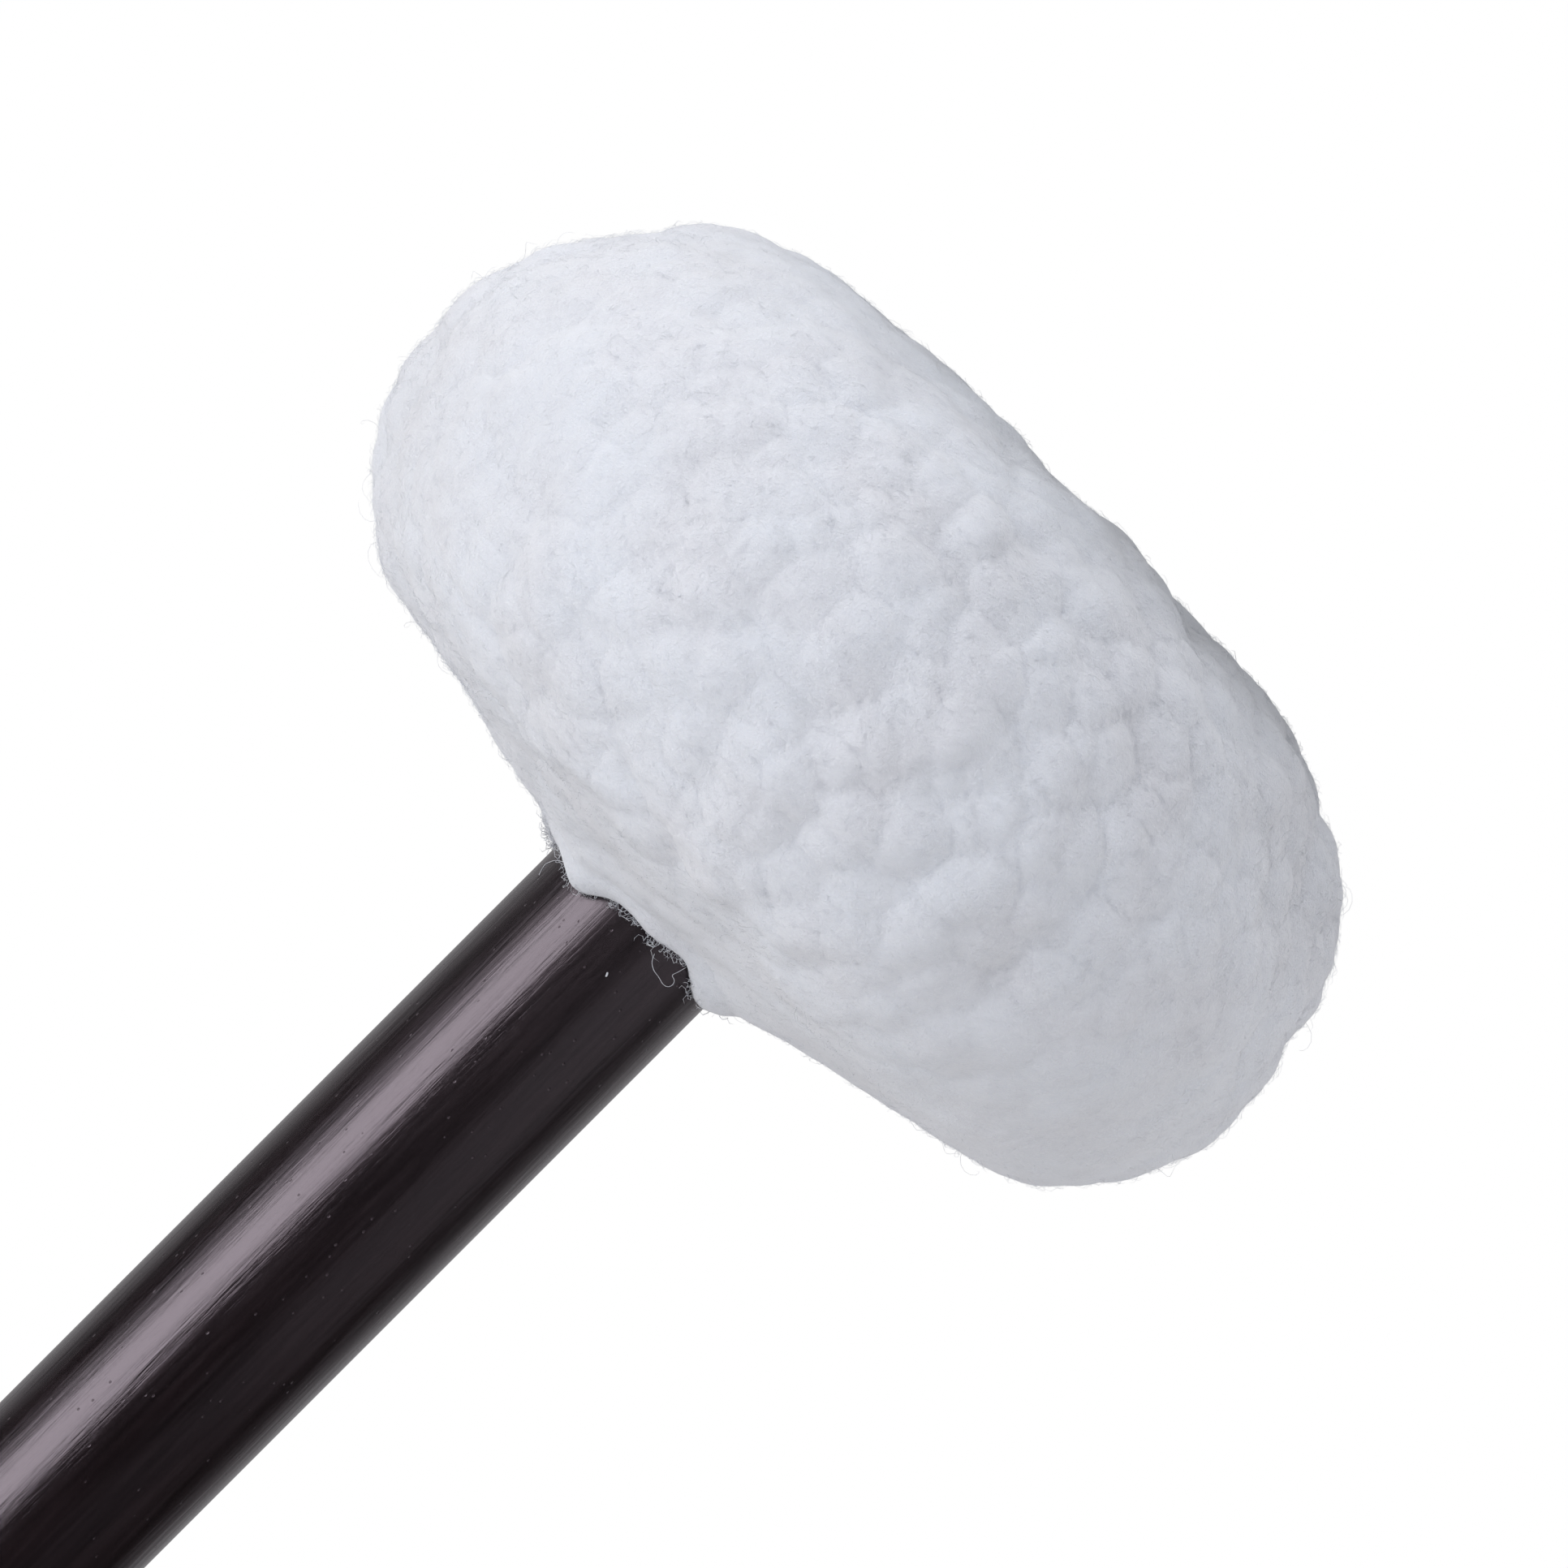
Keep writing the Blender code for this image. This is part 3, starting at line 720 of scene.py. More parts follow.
def read(rows: bpy.types.bpy_prop_collection, name: str, kind: type = float) -> np.ndarray:
    """Reads a property of three numbers of all rows of a mesh.

    Args:
        rows: The mesh's corners, faces or triangles.
        name: The property's name.
        kind: The type of its numbers.

    Returns:
        An array with a row for each.
    """
    values = np.empty(len(rows) * 3, kind)
    rows.foreach_get(name, values)
    return values.reshape(-1, 3)


def run_along(line: np.ndarray) -> np.ndarray:
    """How far along a line each of its points is."""
    return np.concatenate([[0], np.cumsum(np.linalg.norm(np.diff(line, axis=0), axis=1))])


def share_of(values: np.ndarray, start: float, run: float) -> np.ndarray:
    """How far values have come on a run from its start, from 0 to 1."""
    return np.clip((values - start) / run, 0, 1)


def round_axis(across: np.ndarray | float, angle: np.ndarray | float, up: np.ndarray) -> np.ndarray:
    """Places at a distance from the handle's axis, an angle round it and a height."""
    return np.stack([across * np.cos(angle), across * np.sin(angle), up], axis=1)


def arc(centre: Point, radius: float, start: float, end: float, steps: int) -> list[Point]:
    """Points on an arc in the profile plane, from a start to an end angle in degrees."""
    angles = np.radians(np.linspace(start, end, steps + 1))
    return [(centre[0] + radius * math.cos(a), centre[1] + radius * math.sin(a)) for a in angles]


def turn(profile: Sequence[Point], steps: int, ring: bool = False) -> bmesh.types.BMesh:
    """Turns a profile once round the handle's axis.

    Args:
        profile: Its points, across and up, from the axis and back to it.
        steps: The number of steps in the turn.
        ring: Whether the profile closes on itself, away from the axis.

    Returns:
        A closed shape with its faces outwards.
    """
    shape = bmesh.new()
    line = [shape.verts.new((across, 0, up)) for across, up in profile]
    onward = line[1:] + line[:1] if ring else line[1:]
    edges = [shape.edges.new(pair) for pair in zip(line, onward)]
    whole = {"axis": (0, 0, 1), "cent": (0, 0, 0), "angle": math.tau, "steps": steps, "use_merge": True}
    bmesh.ops.spin(shape, geom=[*line, *edges], **whole)
    bmesh.ops.remove_doubles(shape, verts=shape.verts, dist=WELD)
    bmesh.ops.recalc_face_normals(shape, faces=shape.faces)
    return shape


def unit(vectors: np.ndarray) -> np.ndarray:
    """The vectors, each scaled to a length of one."""
    return vectors / np.maximum(np.linalg.norm(vectors, axis=-1, keepdims=True), TINY)


def drift(points: np.ndarray, size: float, seed: float) -> np.ndarray:
    """A smooth field of vectors.

    Args:
        points: Where it is read.
        size: How large its swirls are, in metres.
        seed: A shift that gives another field.

    Returns:
        A vector for each point.
    """
    shifts = [seed * Vector(way) for way in SWIRL_WAYS]
    places = map(Vector, points / size)
    return np.array([[noise.noise(where + shift) for shift in shifts] for where in places])


def sweep(sections: Sequence[np.ndarray]) -> bmesh.types.BMesh:
    """Draws an outline through a row of places, with a face at each end.

    Args:
        sections: The outline's corners at each place, as many in each.

    Returns:
        A closed shape with its faces outwards.
    """
    shape = bmesh.new()
    bmesh.ops.create_circle(shape, cap_ends=True, segments=len(sections[0]), radius=1)
    end = next(iter(shape.faces))
    for number, section in enumerate(sections):
        if number:
            end = drawn_on(shape, end, keep=number == 1)
        for loop, place in zip(end.loops, section):
            loop.vert.co = place
    bmesh.ops.recalc_face_normals(shape, faces=shape.faces)
    return shape


def drawn_on(shape: bmesh.types.BMesh, end: bmesh.types.BMFace, keep: bool) -> bmesh.types.BMFace:
    """Extrudes an end face in place.

    Args:
        shape: The shape.
        end: Its end face.
        keep: Whether the face stays behind, as the shape's first end does.

    Returns:
        The new end face, with its corners in the same order.
    """
    whole = [end, *end.edges, *end.verts]
    drawn = bmesh.ops.extrude_face_region(shape, geom=whole, use_keep_orig=keep)["geom"]
    return next(part for part in drawn if isinstance(part, bmesh.types.BMFace))


def ring_section(inner: float, outer: float, low: float, high: float, edge: float, steps: int) -> np.ndarray:
    """A rectangle with rounded corners in the profile plane, as points across and up.

    Args:
        inner: How far across it starts.
        outer: How far across it ends.
        low: Its lowest height.
        high: Its highest.
        edge: The corners' radius.
        steps: How many pieces each corner has.

    Returns:
        The points, once round.
    """
    points = []
    near, far, bottom, top = inner + edge, outer - edge, low + edge, high - edge
    for number, centre in enumerate(((far, top), (near, top), (near, bottom), (far, bottom))):
        points += arc(centre, edge, 90 * number, 90 * number + 90, steps)
    return np.array(points)


@dataclass(frozen=True)
class Yarn:
    """A twisted yarn: its thickness, its plies and how long one turn of them is."""

    radius: float
    plies: int
    lay: float
    groove: float = 0.26
    sides: int = 18
    blunt: float = 0.2

    def along(self, path: np.ndarray) -> bmesh.types.BMesh:
        """The yarn along a path that lies round the handle's axis.

        Args:
            path: Points, evenly set.

        Returns:
            A closed shape.
        """
        ahead = unit(np.gradient(path, axis=0))
        outward = path * (1, 1, 0)
        outward = unit(outward - ahead * (outward * ahead).sum(axis=1, keepdims=True))
        side = np.cross(ahead, outward)
        run = run_along(path)
        angles = np.linspace(0, math.tau, self.sides, endpoint=False)
        sections = []
        for centre, out, aside, far in zip(path, outward, side, run):
            lobes = np.abs(np.cos(self.plies / 2 * (angles - math.tau * far / self.lay)))
            from_end = min(far, run[-1] - far) / self.radius
            cap = max(math.sqrt(1 - max(1 - from_end, 0) ** 2), self.blunt)
            reach = (self.radius * cap * (1 - self.groove * (1 - lobes)))[:, None]
            spokes = np.cos(angles)[:, None] * out + np.sin(angles)[:, None] * aside
            sections.append(centre + reach * spokes)
        return sweep(sections)


def cut(piece: bpy.types.Object, tool: bmesh.types.BMesh) -> None:
    """Cuts a shape out of a piece.

    Args:
        piece: The piece, whose mesh is replaced.
        tool: The shape, which is freed.
    """
    cutter = object_from("cutter", tool, piece.data.materials[0])
    change = piece.modifiers.new("cut", "BOOLEAN")
    change.object, change.operation = cutter, "DIFFERENCE"
    after = bpy.data.meshes.new_from_object(piece.evaluated_get(bpy.context.evaluated_depsgraph_get()))
    piece.modifiers.clear()
    piece.data = after
    bpy.data.objects.remove(cutter)


# The handle


@dataclass
class Handle:
    """The turned handle: a plain round shaft with a spigot for the core and a rounded butt."""

    radius: float = 12.5 * MM
    shoulder: float = 49.5 * MM
    spigot_radius: float = 8 * MM
    spigot_chamfer: float = 1 * MM
    pilot_radius: float = 2.8 * MM
    pilot_end: float = 70.9 * MM
    butt_edge: float = 6 * MM
    butt_steps: int = 14
    steps: int = 160
    rings: int = 60
    finish: Lacquer = Lacquer()

    def build(self) -> None:
        """Turns the handle and dresses it."""
        low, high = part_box("handle_shaft")
        edge, run = self.butt_edge, np.linspace(self.shoulder, high.z - self.butt_edge, self.rings)
        profile = [
            (0, self.pilot_end),
            (self.pilot_radius, self.pilot_end - self.pilot_radius),
            (self.pilot_radius, low.z),
            (self.spigot_radius - self.spigot_chamfer, low.z),
            (self.spigot_radius, low.z + self.spigot_chamfer),
            (self.spigot_radius, self.shoulder),
            *[(self.radius, up) for up in run],
            *arc((self.radius - edge, high.z - edge), edge, 0, 90, self.butt_steps)[1:],
            (0, high.z),
        ]
        made = object_from("handle", turn(profile, self.steps), self.finish.material(), sharp=40)
        dress(made, "handle_wood", "handle_shaft")


# The core and what holds it


@dataclass
class Core:
    """The turned puck that the head is built on, bored for the spigot and counterbored for the washer."""

    edge: float = 2 * MM
    counterbore: Point = (14.3 * MM, 26.9 * MM)
    bore: float = 8.3 * MM
    chamfer: float = 0.5 * MM
    edge_steps: int = 8
    steps: int = 144
    finish: TurnedHardwood = TurnedHardwood()

    def build(self) -> None:
        """Turns the core and dresses it."""
        low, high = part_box("mallet_core")
        radius, edge, chamfer = high.x, self.edge, self.chamfer
        wide, floor = self.counterbore
        profile = [
            (self.bore, floor),
            (wide, floor),
            (wide, low.z + chamfer),
            (wide + chamfer, low.z),
            *arc((radius - edge, low.z + edge), edge, -90, 0, self.edge_steps),
            *arc((radius - edge, high.z - edge), edge, 0, 90, self.edge_steps),
            (self.bore + chamfer, high.z),
            (self.bore, high.z - chamfer),
        ]
        made = object_from("core", turn(profile, self.steps, ring=True), self.finish.material(), sharp=30)
        dress(made, "core_wood", "mallet_core")


@dataclass
class CoreScrew:
    """The round-headed wood screw that draws the core onto the handle, and its washer."""

    head_radius: float = 5 * MM
    head_height: float = 3.2 * MM
    head_rings: int = 14
    shank: float = 2.5 * MM
    point: float = 7 * MM
    plain: float = 12 * MM
    pitch: float = 2.2 * MM
    thread: float = 0.75 * MM
    run_in: float = 3 * MM
    tip: float = 0.04
    rings_per_pitch: int = 10
    slot: Place = (24 * MM, 1.2 * MM, 2.8 * MM)
    washer_bore: float = 2.8 * MM
    washer_edge: float = 0.35 * MM
    washer_edge_steps: int = 4
    washer_steps: int = 96
    steps: int = 48
    screw_zinc: ZincPlate = ZincPlate("screw_zinc", (0.55, 0.55, 0.54))
    washer_zinc: ZincPlate = ZincPlate("washer_zinc", (0.60, 0.60, 0.58))

    def build(self) -> None:
        """Builds the screw and the washer, and dresses them."""
        self.screw()
        low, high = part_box("front_washer")
        edge = (self.washer_edge, self.washer_edge_steps)
        section = ring_section(self.washer_bore, high.x, low.z, high.z, *edge)
        ring = turn(section, self.washer_steps, ring=True)
        washer = object_from("washer", ring, self.washer_zinc.material(), sharp=40)
        dress(washer, "washer_steel", "front_washer")

    def screw(self) -> None:
        """Turns the screw, cuts its thread and slot and dresses it."""
        low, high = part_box("core_screw")
        under_head = low.z + self.head_height
        dome = [
            (self.head_radius * math.sin(a), under_head - self.head_height * math.cos(a))
            for a in np.linspace(0, math.pi / 2, self.head_rings)
        ]
        rings = np.arange(under_head, high.z, self.pitch / self.rings_per_pitch)
        profile = [*dome, *[(self.shank, up) for up in rings], (0, high.z)]
        shape = turn(profile, self.steps)
        for corner in shape.verts:
            across, up = math.hypot(corner.co.x, corner.co.y), corner.co.z
            if up > under_head and across > 0:
                turned = math.atan2(corner.co.y, corner.co.x) / math.tau
                groove = 1 - abs(math.cos(math.pi * ((up - under_head) / self.pitch - turned))) ** 3
                deep = min(max((up - under_head - self.plain) / self.run_in, 0), 1)
                left = max(min((high.z - up) / self.point, 1), self.tip)
                corner.co.xy *= (across - self.thread * deep * groove) * left / across
        made = object_from("screw", shape, self.screw_zinc.material())
        slot = bmesh.new()
        bmesh.ops.create_cube(slot, size=1)
        bmesh.ops.scale(slot, vec=self.slot, verts=slot.verts)
        bmesh.ops.translate(slot, vec=(0, 0, low.z), verts=slot.verts)
        cut(made, slot)
        made.data.set_sharp_from_angle(angle=math.radians(40))
        dress(made, "screw_steel", "core_screw")


# The padding


@dataclass
class PaddedForm:
    """The outline of winding and pads, which each cloth follows at its own distance."""

    rear_edge: float = 3.5 * MM
    neck_fillet: float = 3.5 * MM
    pocket: float = 16.84 * MM
    gathers: int = 10
    gather_height: float = 0.9 * MM
    gather_reach: float = 21 * MM
    corner_steps: int = 14
    rear_rings: int = 12

    def __post_init__(self) -> None:
        """Reads the form's places from the frame."""
        self.handle_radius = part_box("handle_shaft")[1].x
        self.front, self.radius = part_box("front_pad")[0].z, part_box("front_pad")[1].x
        self.strip_front, self.strip_rear = (corner.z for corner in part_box("felt_winding"))
        self.rear_seat, neck = (corner.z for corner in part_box("rear_pad"))
        self.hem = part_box("lining_sock")[1].z
        self.slope = math.atan2(neck - self.rear_seat - self.rear_edge, self.radius - self.handle_radius)
        self.neck = neck

    def rear(self, radius: float, offset: float = 0.0) -> float:
        """The height of the rear face at a radius, moved outwards by an offset."""
        fall = (radius - self.handle_radius) * math.tan(self.slope)
        return self.neck - fall + offset / math.cos(self.slope)

    def outline(self, offset: float) -> np.ndarray:
        """The form's outline, moved outwards, from the front's centre to the hem at the handle.

        Args:
            offset: How far it is moved.

        Returns:
            The points, across and up.
        """
        rim = self.rear(self.radius)
        bare = [
            (0, self.front),
            (self.radius, self.front),
            (self.radius, rim),
            (self.handle_radius, self.neck),
            (self.handle_radius, self.hem),
        ]
        radii = (
            self.strip_front - self.front + offset,
            (rim - self.strip_rear) / math.tan((math.pi / 2 - self.slope) / 2) + offset,
            self.neck_fillet - offset,
        )
        moved = [moved_corner(bare[i - 1 : i + 2], offset) for i in (1, 2, 3)]
        ends = [np.array((0, self.front - offset)), *moved, np.array((self.handle_radius + offset, self.hem))]
        arcs = [rounded_corner(ends[i : i + 3], radii[i], self.corner_steps) for i in range(3)]
        rear_run = np.linspace(arcs[1][-1], arcs[2][0], self.rear_rings + 1)[1:-1]
        front_run = np.linspace(ends[0], arcs[0][0], self.rear_rings + 1)[:-1]
        return np.vstack([front_run, arcs[0], arcs[1], rear_run, arcs[2], ends[-1]])

    def gathered(self, across: np.ndarray) -> np.ndarray:
        """How strongly the cover is gathered at a distance from the axis, from 0 to 1."""
        return np.sin(math.pi * share_of(across, self.pocket, self.gather_reach))

    def lift(self, across: np.ndarray, round_by: np.ndarray) -> np.ndarray:
        """How far the cover stands off the rear pad where it is gathered towards the neck."""
        folds = 1 + np.cos(self.gathers * round_by)
        return self.gather_height * self.gathered(across) ** 2 * folds / 2


def rounded_corner(ends: Sequence[np.ndarray], radius: float, steps: int) -> np.ndarray:
    """The arc that rounds a corner between two straight runs.

    Args:
        ends: A point before the corner, the corner and a point after it.
        radius: The arc's radius.
        steps: How many pieces it has.

    Returns:
        The arc's points.
    """
    before, corner, after = (np.array(end) for end in ends)
    inward, onward = unit(corner - before), unit(after - corner)
    side = math.copysign(1, inward[0] * onward[1] - inward[1] * onward[0])
    turned = math.acos(np.clip(inward @ onward, -1, 1))
    start = corner - inward * radius * math.tan(turned / 2)
    centre = start + side * radius * np.array((-inward[1], inward[0]))
    angles = side * np.linspace(0, turned, steps + 1)
    spoke = start - centre
    turned_spokes = [
        (math.cos(a) * spoke[0] - math.sin(a) * spoke[1], math.sin(a) * spoke[0] + math.cos(a) * spoke[1])
        for a in angles
    ]
    return centre + np.array(turned_spokes)


def moved_corner(ends: Sequence[Point], distance: float) -> np.ndarray:
    """A corner of the outline once both its sides have moved outwards.

    Args:
        ends: The points before it, at it and after it.
        distance: How far the sides have moved.

    Returns:
        The corner's new place.
    """
    before, corner, after = (np.array(end) for end in ends)
    out = [np.array((run[1], -run[0])) for run in (unit(corner - before), unit(after - corner))]
    return corner + distance * (out[0] + out[1]) / (1 + out[0] @ out[1])


@dataclass
class FeltWinding:
    """A felt strip wound in three layers round the core, skived at its ends, and its closing stitch."""

    form: PaddedForm
    core_radius: float = 32.3 * MM
    thickness: float = 4.0 * MM
    tip: float = 0.6 * MM
    layers: int = 3
    lap_gap: float = 0.45 * MM
    skive: float = 90.0
    climb: float = 27.0
    edge: float = 0.7 * MM
    edge_share: float = 0.42
    edge_steps: int = 4
    steps: int = 96
    stitches: int = 6
    stitch_margin: float = 1 * MM
    stitch_width: float = 4.0
    stitch_gap: float = 0.3 * MM
    stitch_points: int = 460
    stitch_bend: float = 0.985
    thread: Yarn = Yarn(radius=0.3 * MM, plies=2, lay=1.3 * MM, sides=12)
    felt: WoolFelt = WoolFelt("grey_wool_felt", (0.42, 0.40, 0.36), (0.31, 0.29, 0.26), (0.12, 0.11, 0.10))
    linen: SpunYarn = SpunYarn("linen_thread", (0.72, 0.66, 0.54), (0.50, 0.44, 0.33), 0.75, 0.0)

    def faces(self) -> tuple[np.ndarray, np.ndarray]:
        """The strip's inner and outer radius at each step of the winding.

        Returns:
            Both radii, thinned at the skived ends and raised where the strip climbs onto its own start.
        """
        skived = round(self.skive / 360 * self.steps)
        climb_start = self.steps - round(self.climb / 360 * self.steps)
        last = self.layers * self.steps + skived
        inner, outer = [], []
        for step in range(last + 1):
            if step >= self.steps:
                below = outer[step - self.steps] + self.lap_gap
            else:
                climbed = max(step - climb_start, 0) / (self.steps - climb_start)
                below = self.core_radius + climbed * (self.tip + self.lap_gap)
            share = min(min(step, last - step) / skived, 1)
            inner.append(below)
            outer.append(below + self.tip + share * (self.thickness - self.tip))
        return np.array(inner), np.array(outer)

    def build(self) -> None:
        """Winds the strip, closes it with its stitch and dresses both."""
        inner, outer = self.faces()
        low, high = self.form.strip_front, self.form.strip_rear
        angles = math.tau * np.arange(len(inner)) / self.steps
        sections = []
        for near, far, angle in zip(inner, outer, angles):
            edge = min(self.edge, self.edge_share * (far - near))
            section = ring_section(near, far, low, high, edge, self.edge_steps)
            sections.append(round_axis(section[:, 0], angle, section[:, 1]))
        wound = object_from("wound_felt", sweep(sections), self.felt.material())
        dress(wound, "winding_felt", "felt_winding")
        self.stitch(outer)

    def stitch(self, outer: np.ndarray) -> None:
        """Sews the thread that zigzags up the step beside the strip's outer end.

        Args:
            outer: The strip's outer radius at each step.
        """
        lie = outer[self.layers * self.steps - self.steps // 2] + self.stitch_gap + self.thread.radius
        low, high = self.form.strip_front + self.stitch_margin, self.form.strip_rear - self.stitch_margin
        share = np.linspace(0, 1, self.stitch_points)
        zigzag = np.arccos(np.cos(2 * math.pi * self.stitches * share) * self.stitch_bend) / math.pi
        angles = np.radians(self.skive + self.stitch_width * (1 + zigzag))
        path = round_axis(lie, angles, low + (high - low) * share)
        made = object_from("stitch_thread", self.thread.along(path), self.linen.material())
        dress(made, "linen_thread", "closing_stitch")


@dataclass
class Pads:
    """The felt pad behind the striking face and the felt ring behind the core."""

    form: PaddedForm
    steps: int = 144
    rings: int = 16
    dent: float = 0.12 * MM
    dent_sizes: Point = (9 * MM, 3 * MM)
    dent_shares: Point = (0.5, 0.33)
    bore_gap: float = 0.3 * MM
    felt: WoolFelt = WoolFelt("pale_wool_felt", (0.60, 0.58, 0.53), (0.47, 0.45, 0.40), (0.24, 0.22, 0.19))

    def build(self) -> None:
        """Builds both pads and dresses them."""
        felt = self.felt.material()
        outline = self.form.outline(0)
        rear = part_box("front_pad")[1].z
        ahead = outline[outline[:, 1] < rear]
        flat = np.linspace((self.edge_at(outline, rear), rear), (0, rear), self.rings)
        self.pad("front_felt", np.vstack([ahead, flat]), felt, "front_pad", ring=False)
        bore, seat = self.form.handle_radius + self.bore_gap, self.form.rear_seat
        start = np.argmax(outline[:, 1] > seat)
        behind = outline[start:]
        behind = behind[behind[:, 0] > self.form.handle_radius + self.form.neck_fillet]
        floor = np.linspace((bore, seat), (self.edge_at(outline, seat), seat), self.rings)
        profile = np.vstack([floor, behind, (bore, self.form.rear(bore))])
        self.pad("rear_felt", profile, felt, "rear_pad", ring=True)

    @staticmethod
    def edge_at(outline: np.ndarray, height: float) -> float:
        """How far across the outline is at a height on its rim."""
        rim = outline[outline[:, 0] > outline[:, 0].max() / 2]
        return float(np.interp(height, rim[:, 1], rim[:, 0]))

    def pad(self, name: str, profile: np.ndarray, felt: bpy.types.Material, node: str, ring: bool) -> None:
        """Turns one pad, dents it softly and dresses it.

        Args:
            name: The piece's name.
            profile: Its outline, across and up.
            felt: Its finish.
            node: The CAD node that it replaces.
            ring: Whether it has a bore.
        """
        shape = turn([tuple(point) for point in profile], self.steps, ring=ring)
        shape.normal_update()
        (broad, small), (middle, spread) = self.dent_sizes, self.dent_shares
        for corner in shape.verts:
            uneven = noise.noise(corner.co / broad) + 0.5 * noise.noise(corner.co / small)
            corner.co -= corner.normal * self.dent * (middle + spread * uneven)
        made = object_from(name, shape, felt, sharp=50)
        dress(made, "pad_felt", node)


# The cloths and the binding


@dataclass
class Cloth:
    """A cloth drawn over the padding and up the handle, cut as a front disc and a band sewn to it."""

    name: str
    form: PaddedForm
    inner: float
    outer: float
    gathered: float
    pleats: float
    steps: int = 240
    pleat_count: int = 48
    disc_share: float = 0.93

    def build(self, material: bpy.types.Material) -> bpy.types.Object:
        """Turns the cloth, gathers it towards the neck and lays its weave.

        Args:
            material: Its finish.

        Returns:
            The cloth.
        """
        outside, inside = self.form.outline(self.outer), self.form.outline(self.inner)
        profile = [tuple(point) for point in (*outside, *inside[::-1])]
        made = object_from(self.name, turn(profile, self.steps), material)
        mesh = made.data
        places = read(mesh.vertices, "co")
        across, round_by = np.hypot(places[:, 0], places[:, 1]), np.arctan2(places[:, 1], places[:, 0])
        behind = places[:, 2] > self.form.rear_seat
        folds = np.cos(self.pleat_count * round_by + 2 * np.sin(3 * round_by))
        fine = self.pleats * self.form.gathered(across) * folds
        places[:, 2] += behind * (self.gathered * self.form.lift(across, round_by) + fine)
        mesh.vertices.foreach_set("co", places.ravel())
        mesh.update()
        self.lay_weave(mesh)
        return made

    def lay_weave(self, mesh: bpy.types.Mesh) -> None:
        """Gives the cloth's own map: straight over the front disc, and round and up on the band.

        Args:
            mesh: The cloth's mesh.
        """
        places = read(mesh.vertices, "co")[[loop.vertex_index for loop in mesh.loops]]
        totals = [face.loop_total for face in mesh.polygons]
        centres = np.repeat(read(mesh.polygons, "center"), totals, axis=0)
        around = np.arctan2(centres[:, 1], centres[:, 0])
        swing = np.arctan2(places[:, 1], places[:, 0]) - around
        around += (swing + math.pi) % math.tau - math.pi
        across = np.hypot(places[:, 0], places[:, 1])
        band = np.stack([around * self.form.radius, places[:, 2] + self.form.radius - across], axis=1)
        in_front = centres[:, 2] < self.form.strip_front
        disc = in_front & (np.hypot(centres[:, 0], centres[:, 1]) < self.form.radius * self.disc_share)
        flat = np.where(disc[:, None], places[:, :2], band)
        mesh.uv_layers.new(name=CLOTH_MAP).data.foreach_set("uv", flat.ravel())

    def cut_size(self) -> tuple[tuple[float, float], float]:
        """What the cloth was cut to.

        Returns:
            The width and length of the piece, and the area of disc and band.
        """
        radius = self.form.radius + self.outer
        run = float(run_along(self.form.outline(self.outer))[-1]) - radius
        around = math.tau * radius
        return (around, run + 2 * radius), around * run + math.pi * radius**2


@dataclass
class Cover:
    """The cotton lining, the fleece's knit ground over it, and the twine that binds both to the handle."""

    form: PaddedForm
    twine: Yarn = Yarn(radius=0.5 * MM, plies=3, lay=3.1 * MM)
    turns: float = 3.5
    pitch: float = 1.45 * MM
    helix_radius: float = 15.9 * MM
    points_per_turn: int = 330
    wax: SpunYarn = SpunYarn("waxed_twine", (0.50, 0.45, 0.36), (0.32, 0.27, 0.19), 0.6, 0.25)

    def build(self) -> None:
        """Draws the cloths over the padding, binds them and dresses all three."""
        lining = Cloth("cotton_lining", self.form, 0.3 * MM, 1.1 * MM, gathered=0.45, pleats=0.05 * MM)
        ground = Cloth("knit_ground", self.form, 1.4 * MM, 2.6 * MM, gathered=1.0, pleats=0.08 * MM)
        made = dress(lining.build(Cotton().material()), "lining_cotton", "lining_sock")
        size, area = lining.cut_size()
        made = dress(ground.build(Knit().material()), "backing_knit", "fleece_backing")
        size, area = ground.cut_size()
        self.bind()

    def bind(self) -> None:
        """Winds the twine round both cloths where they meet the handle."""
        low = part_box("neck_binding")[0].z + self.twine.radius
        share = np.linspace(0, 1, round(self.turns * self.points_per_turn))
        climb = low + self.pitch * self.turns * share
        path = round_axis(self.helix_radius, math.tau * self.turns * share, climb)
        made = object_from("binding_twine", self.twine.along(path), self.wax.material())
        dress(made, "waxed_twine", "neck_binding")


# The fleece


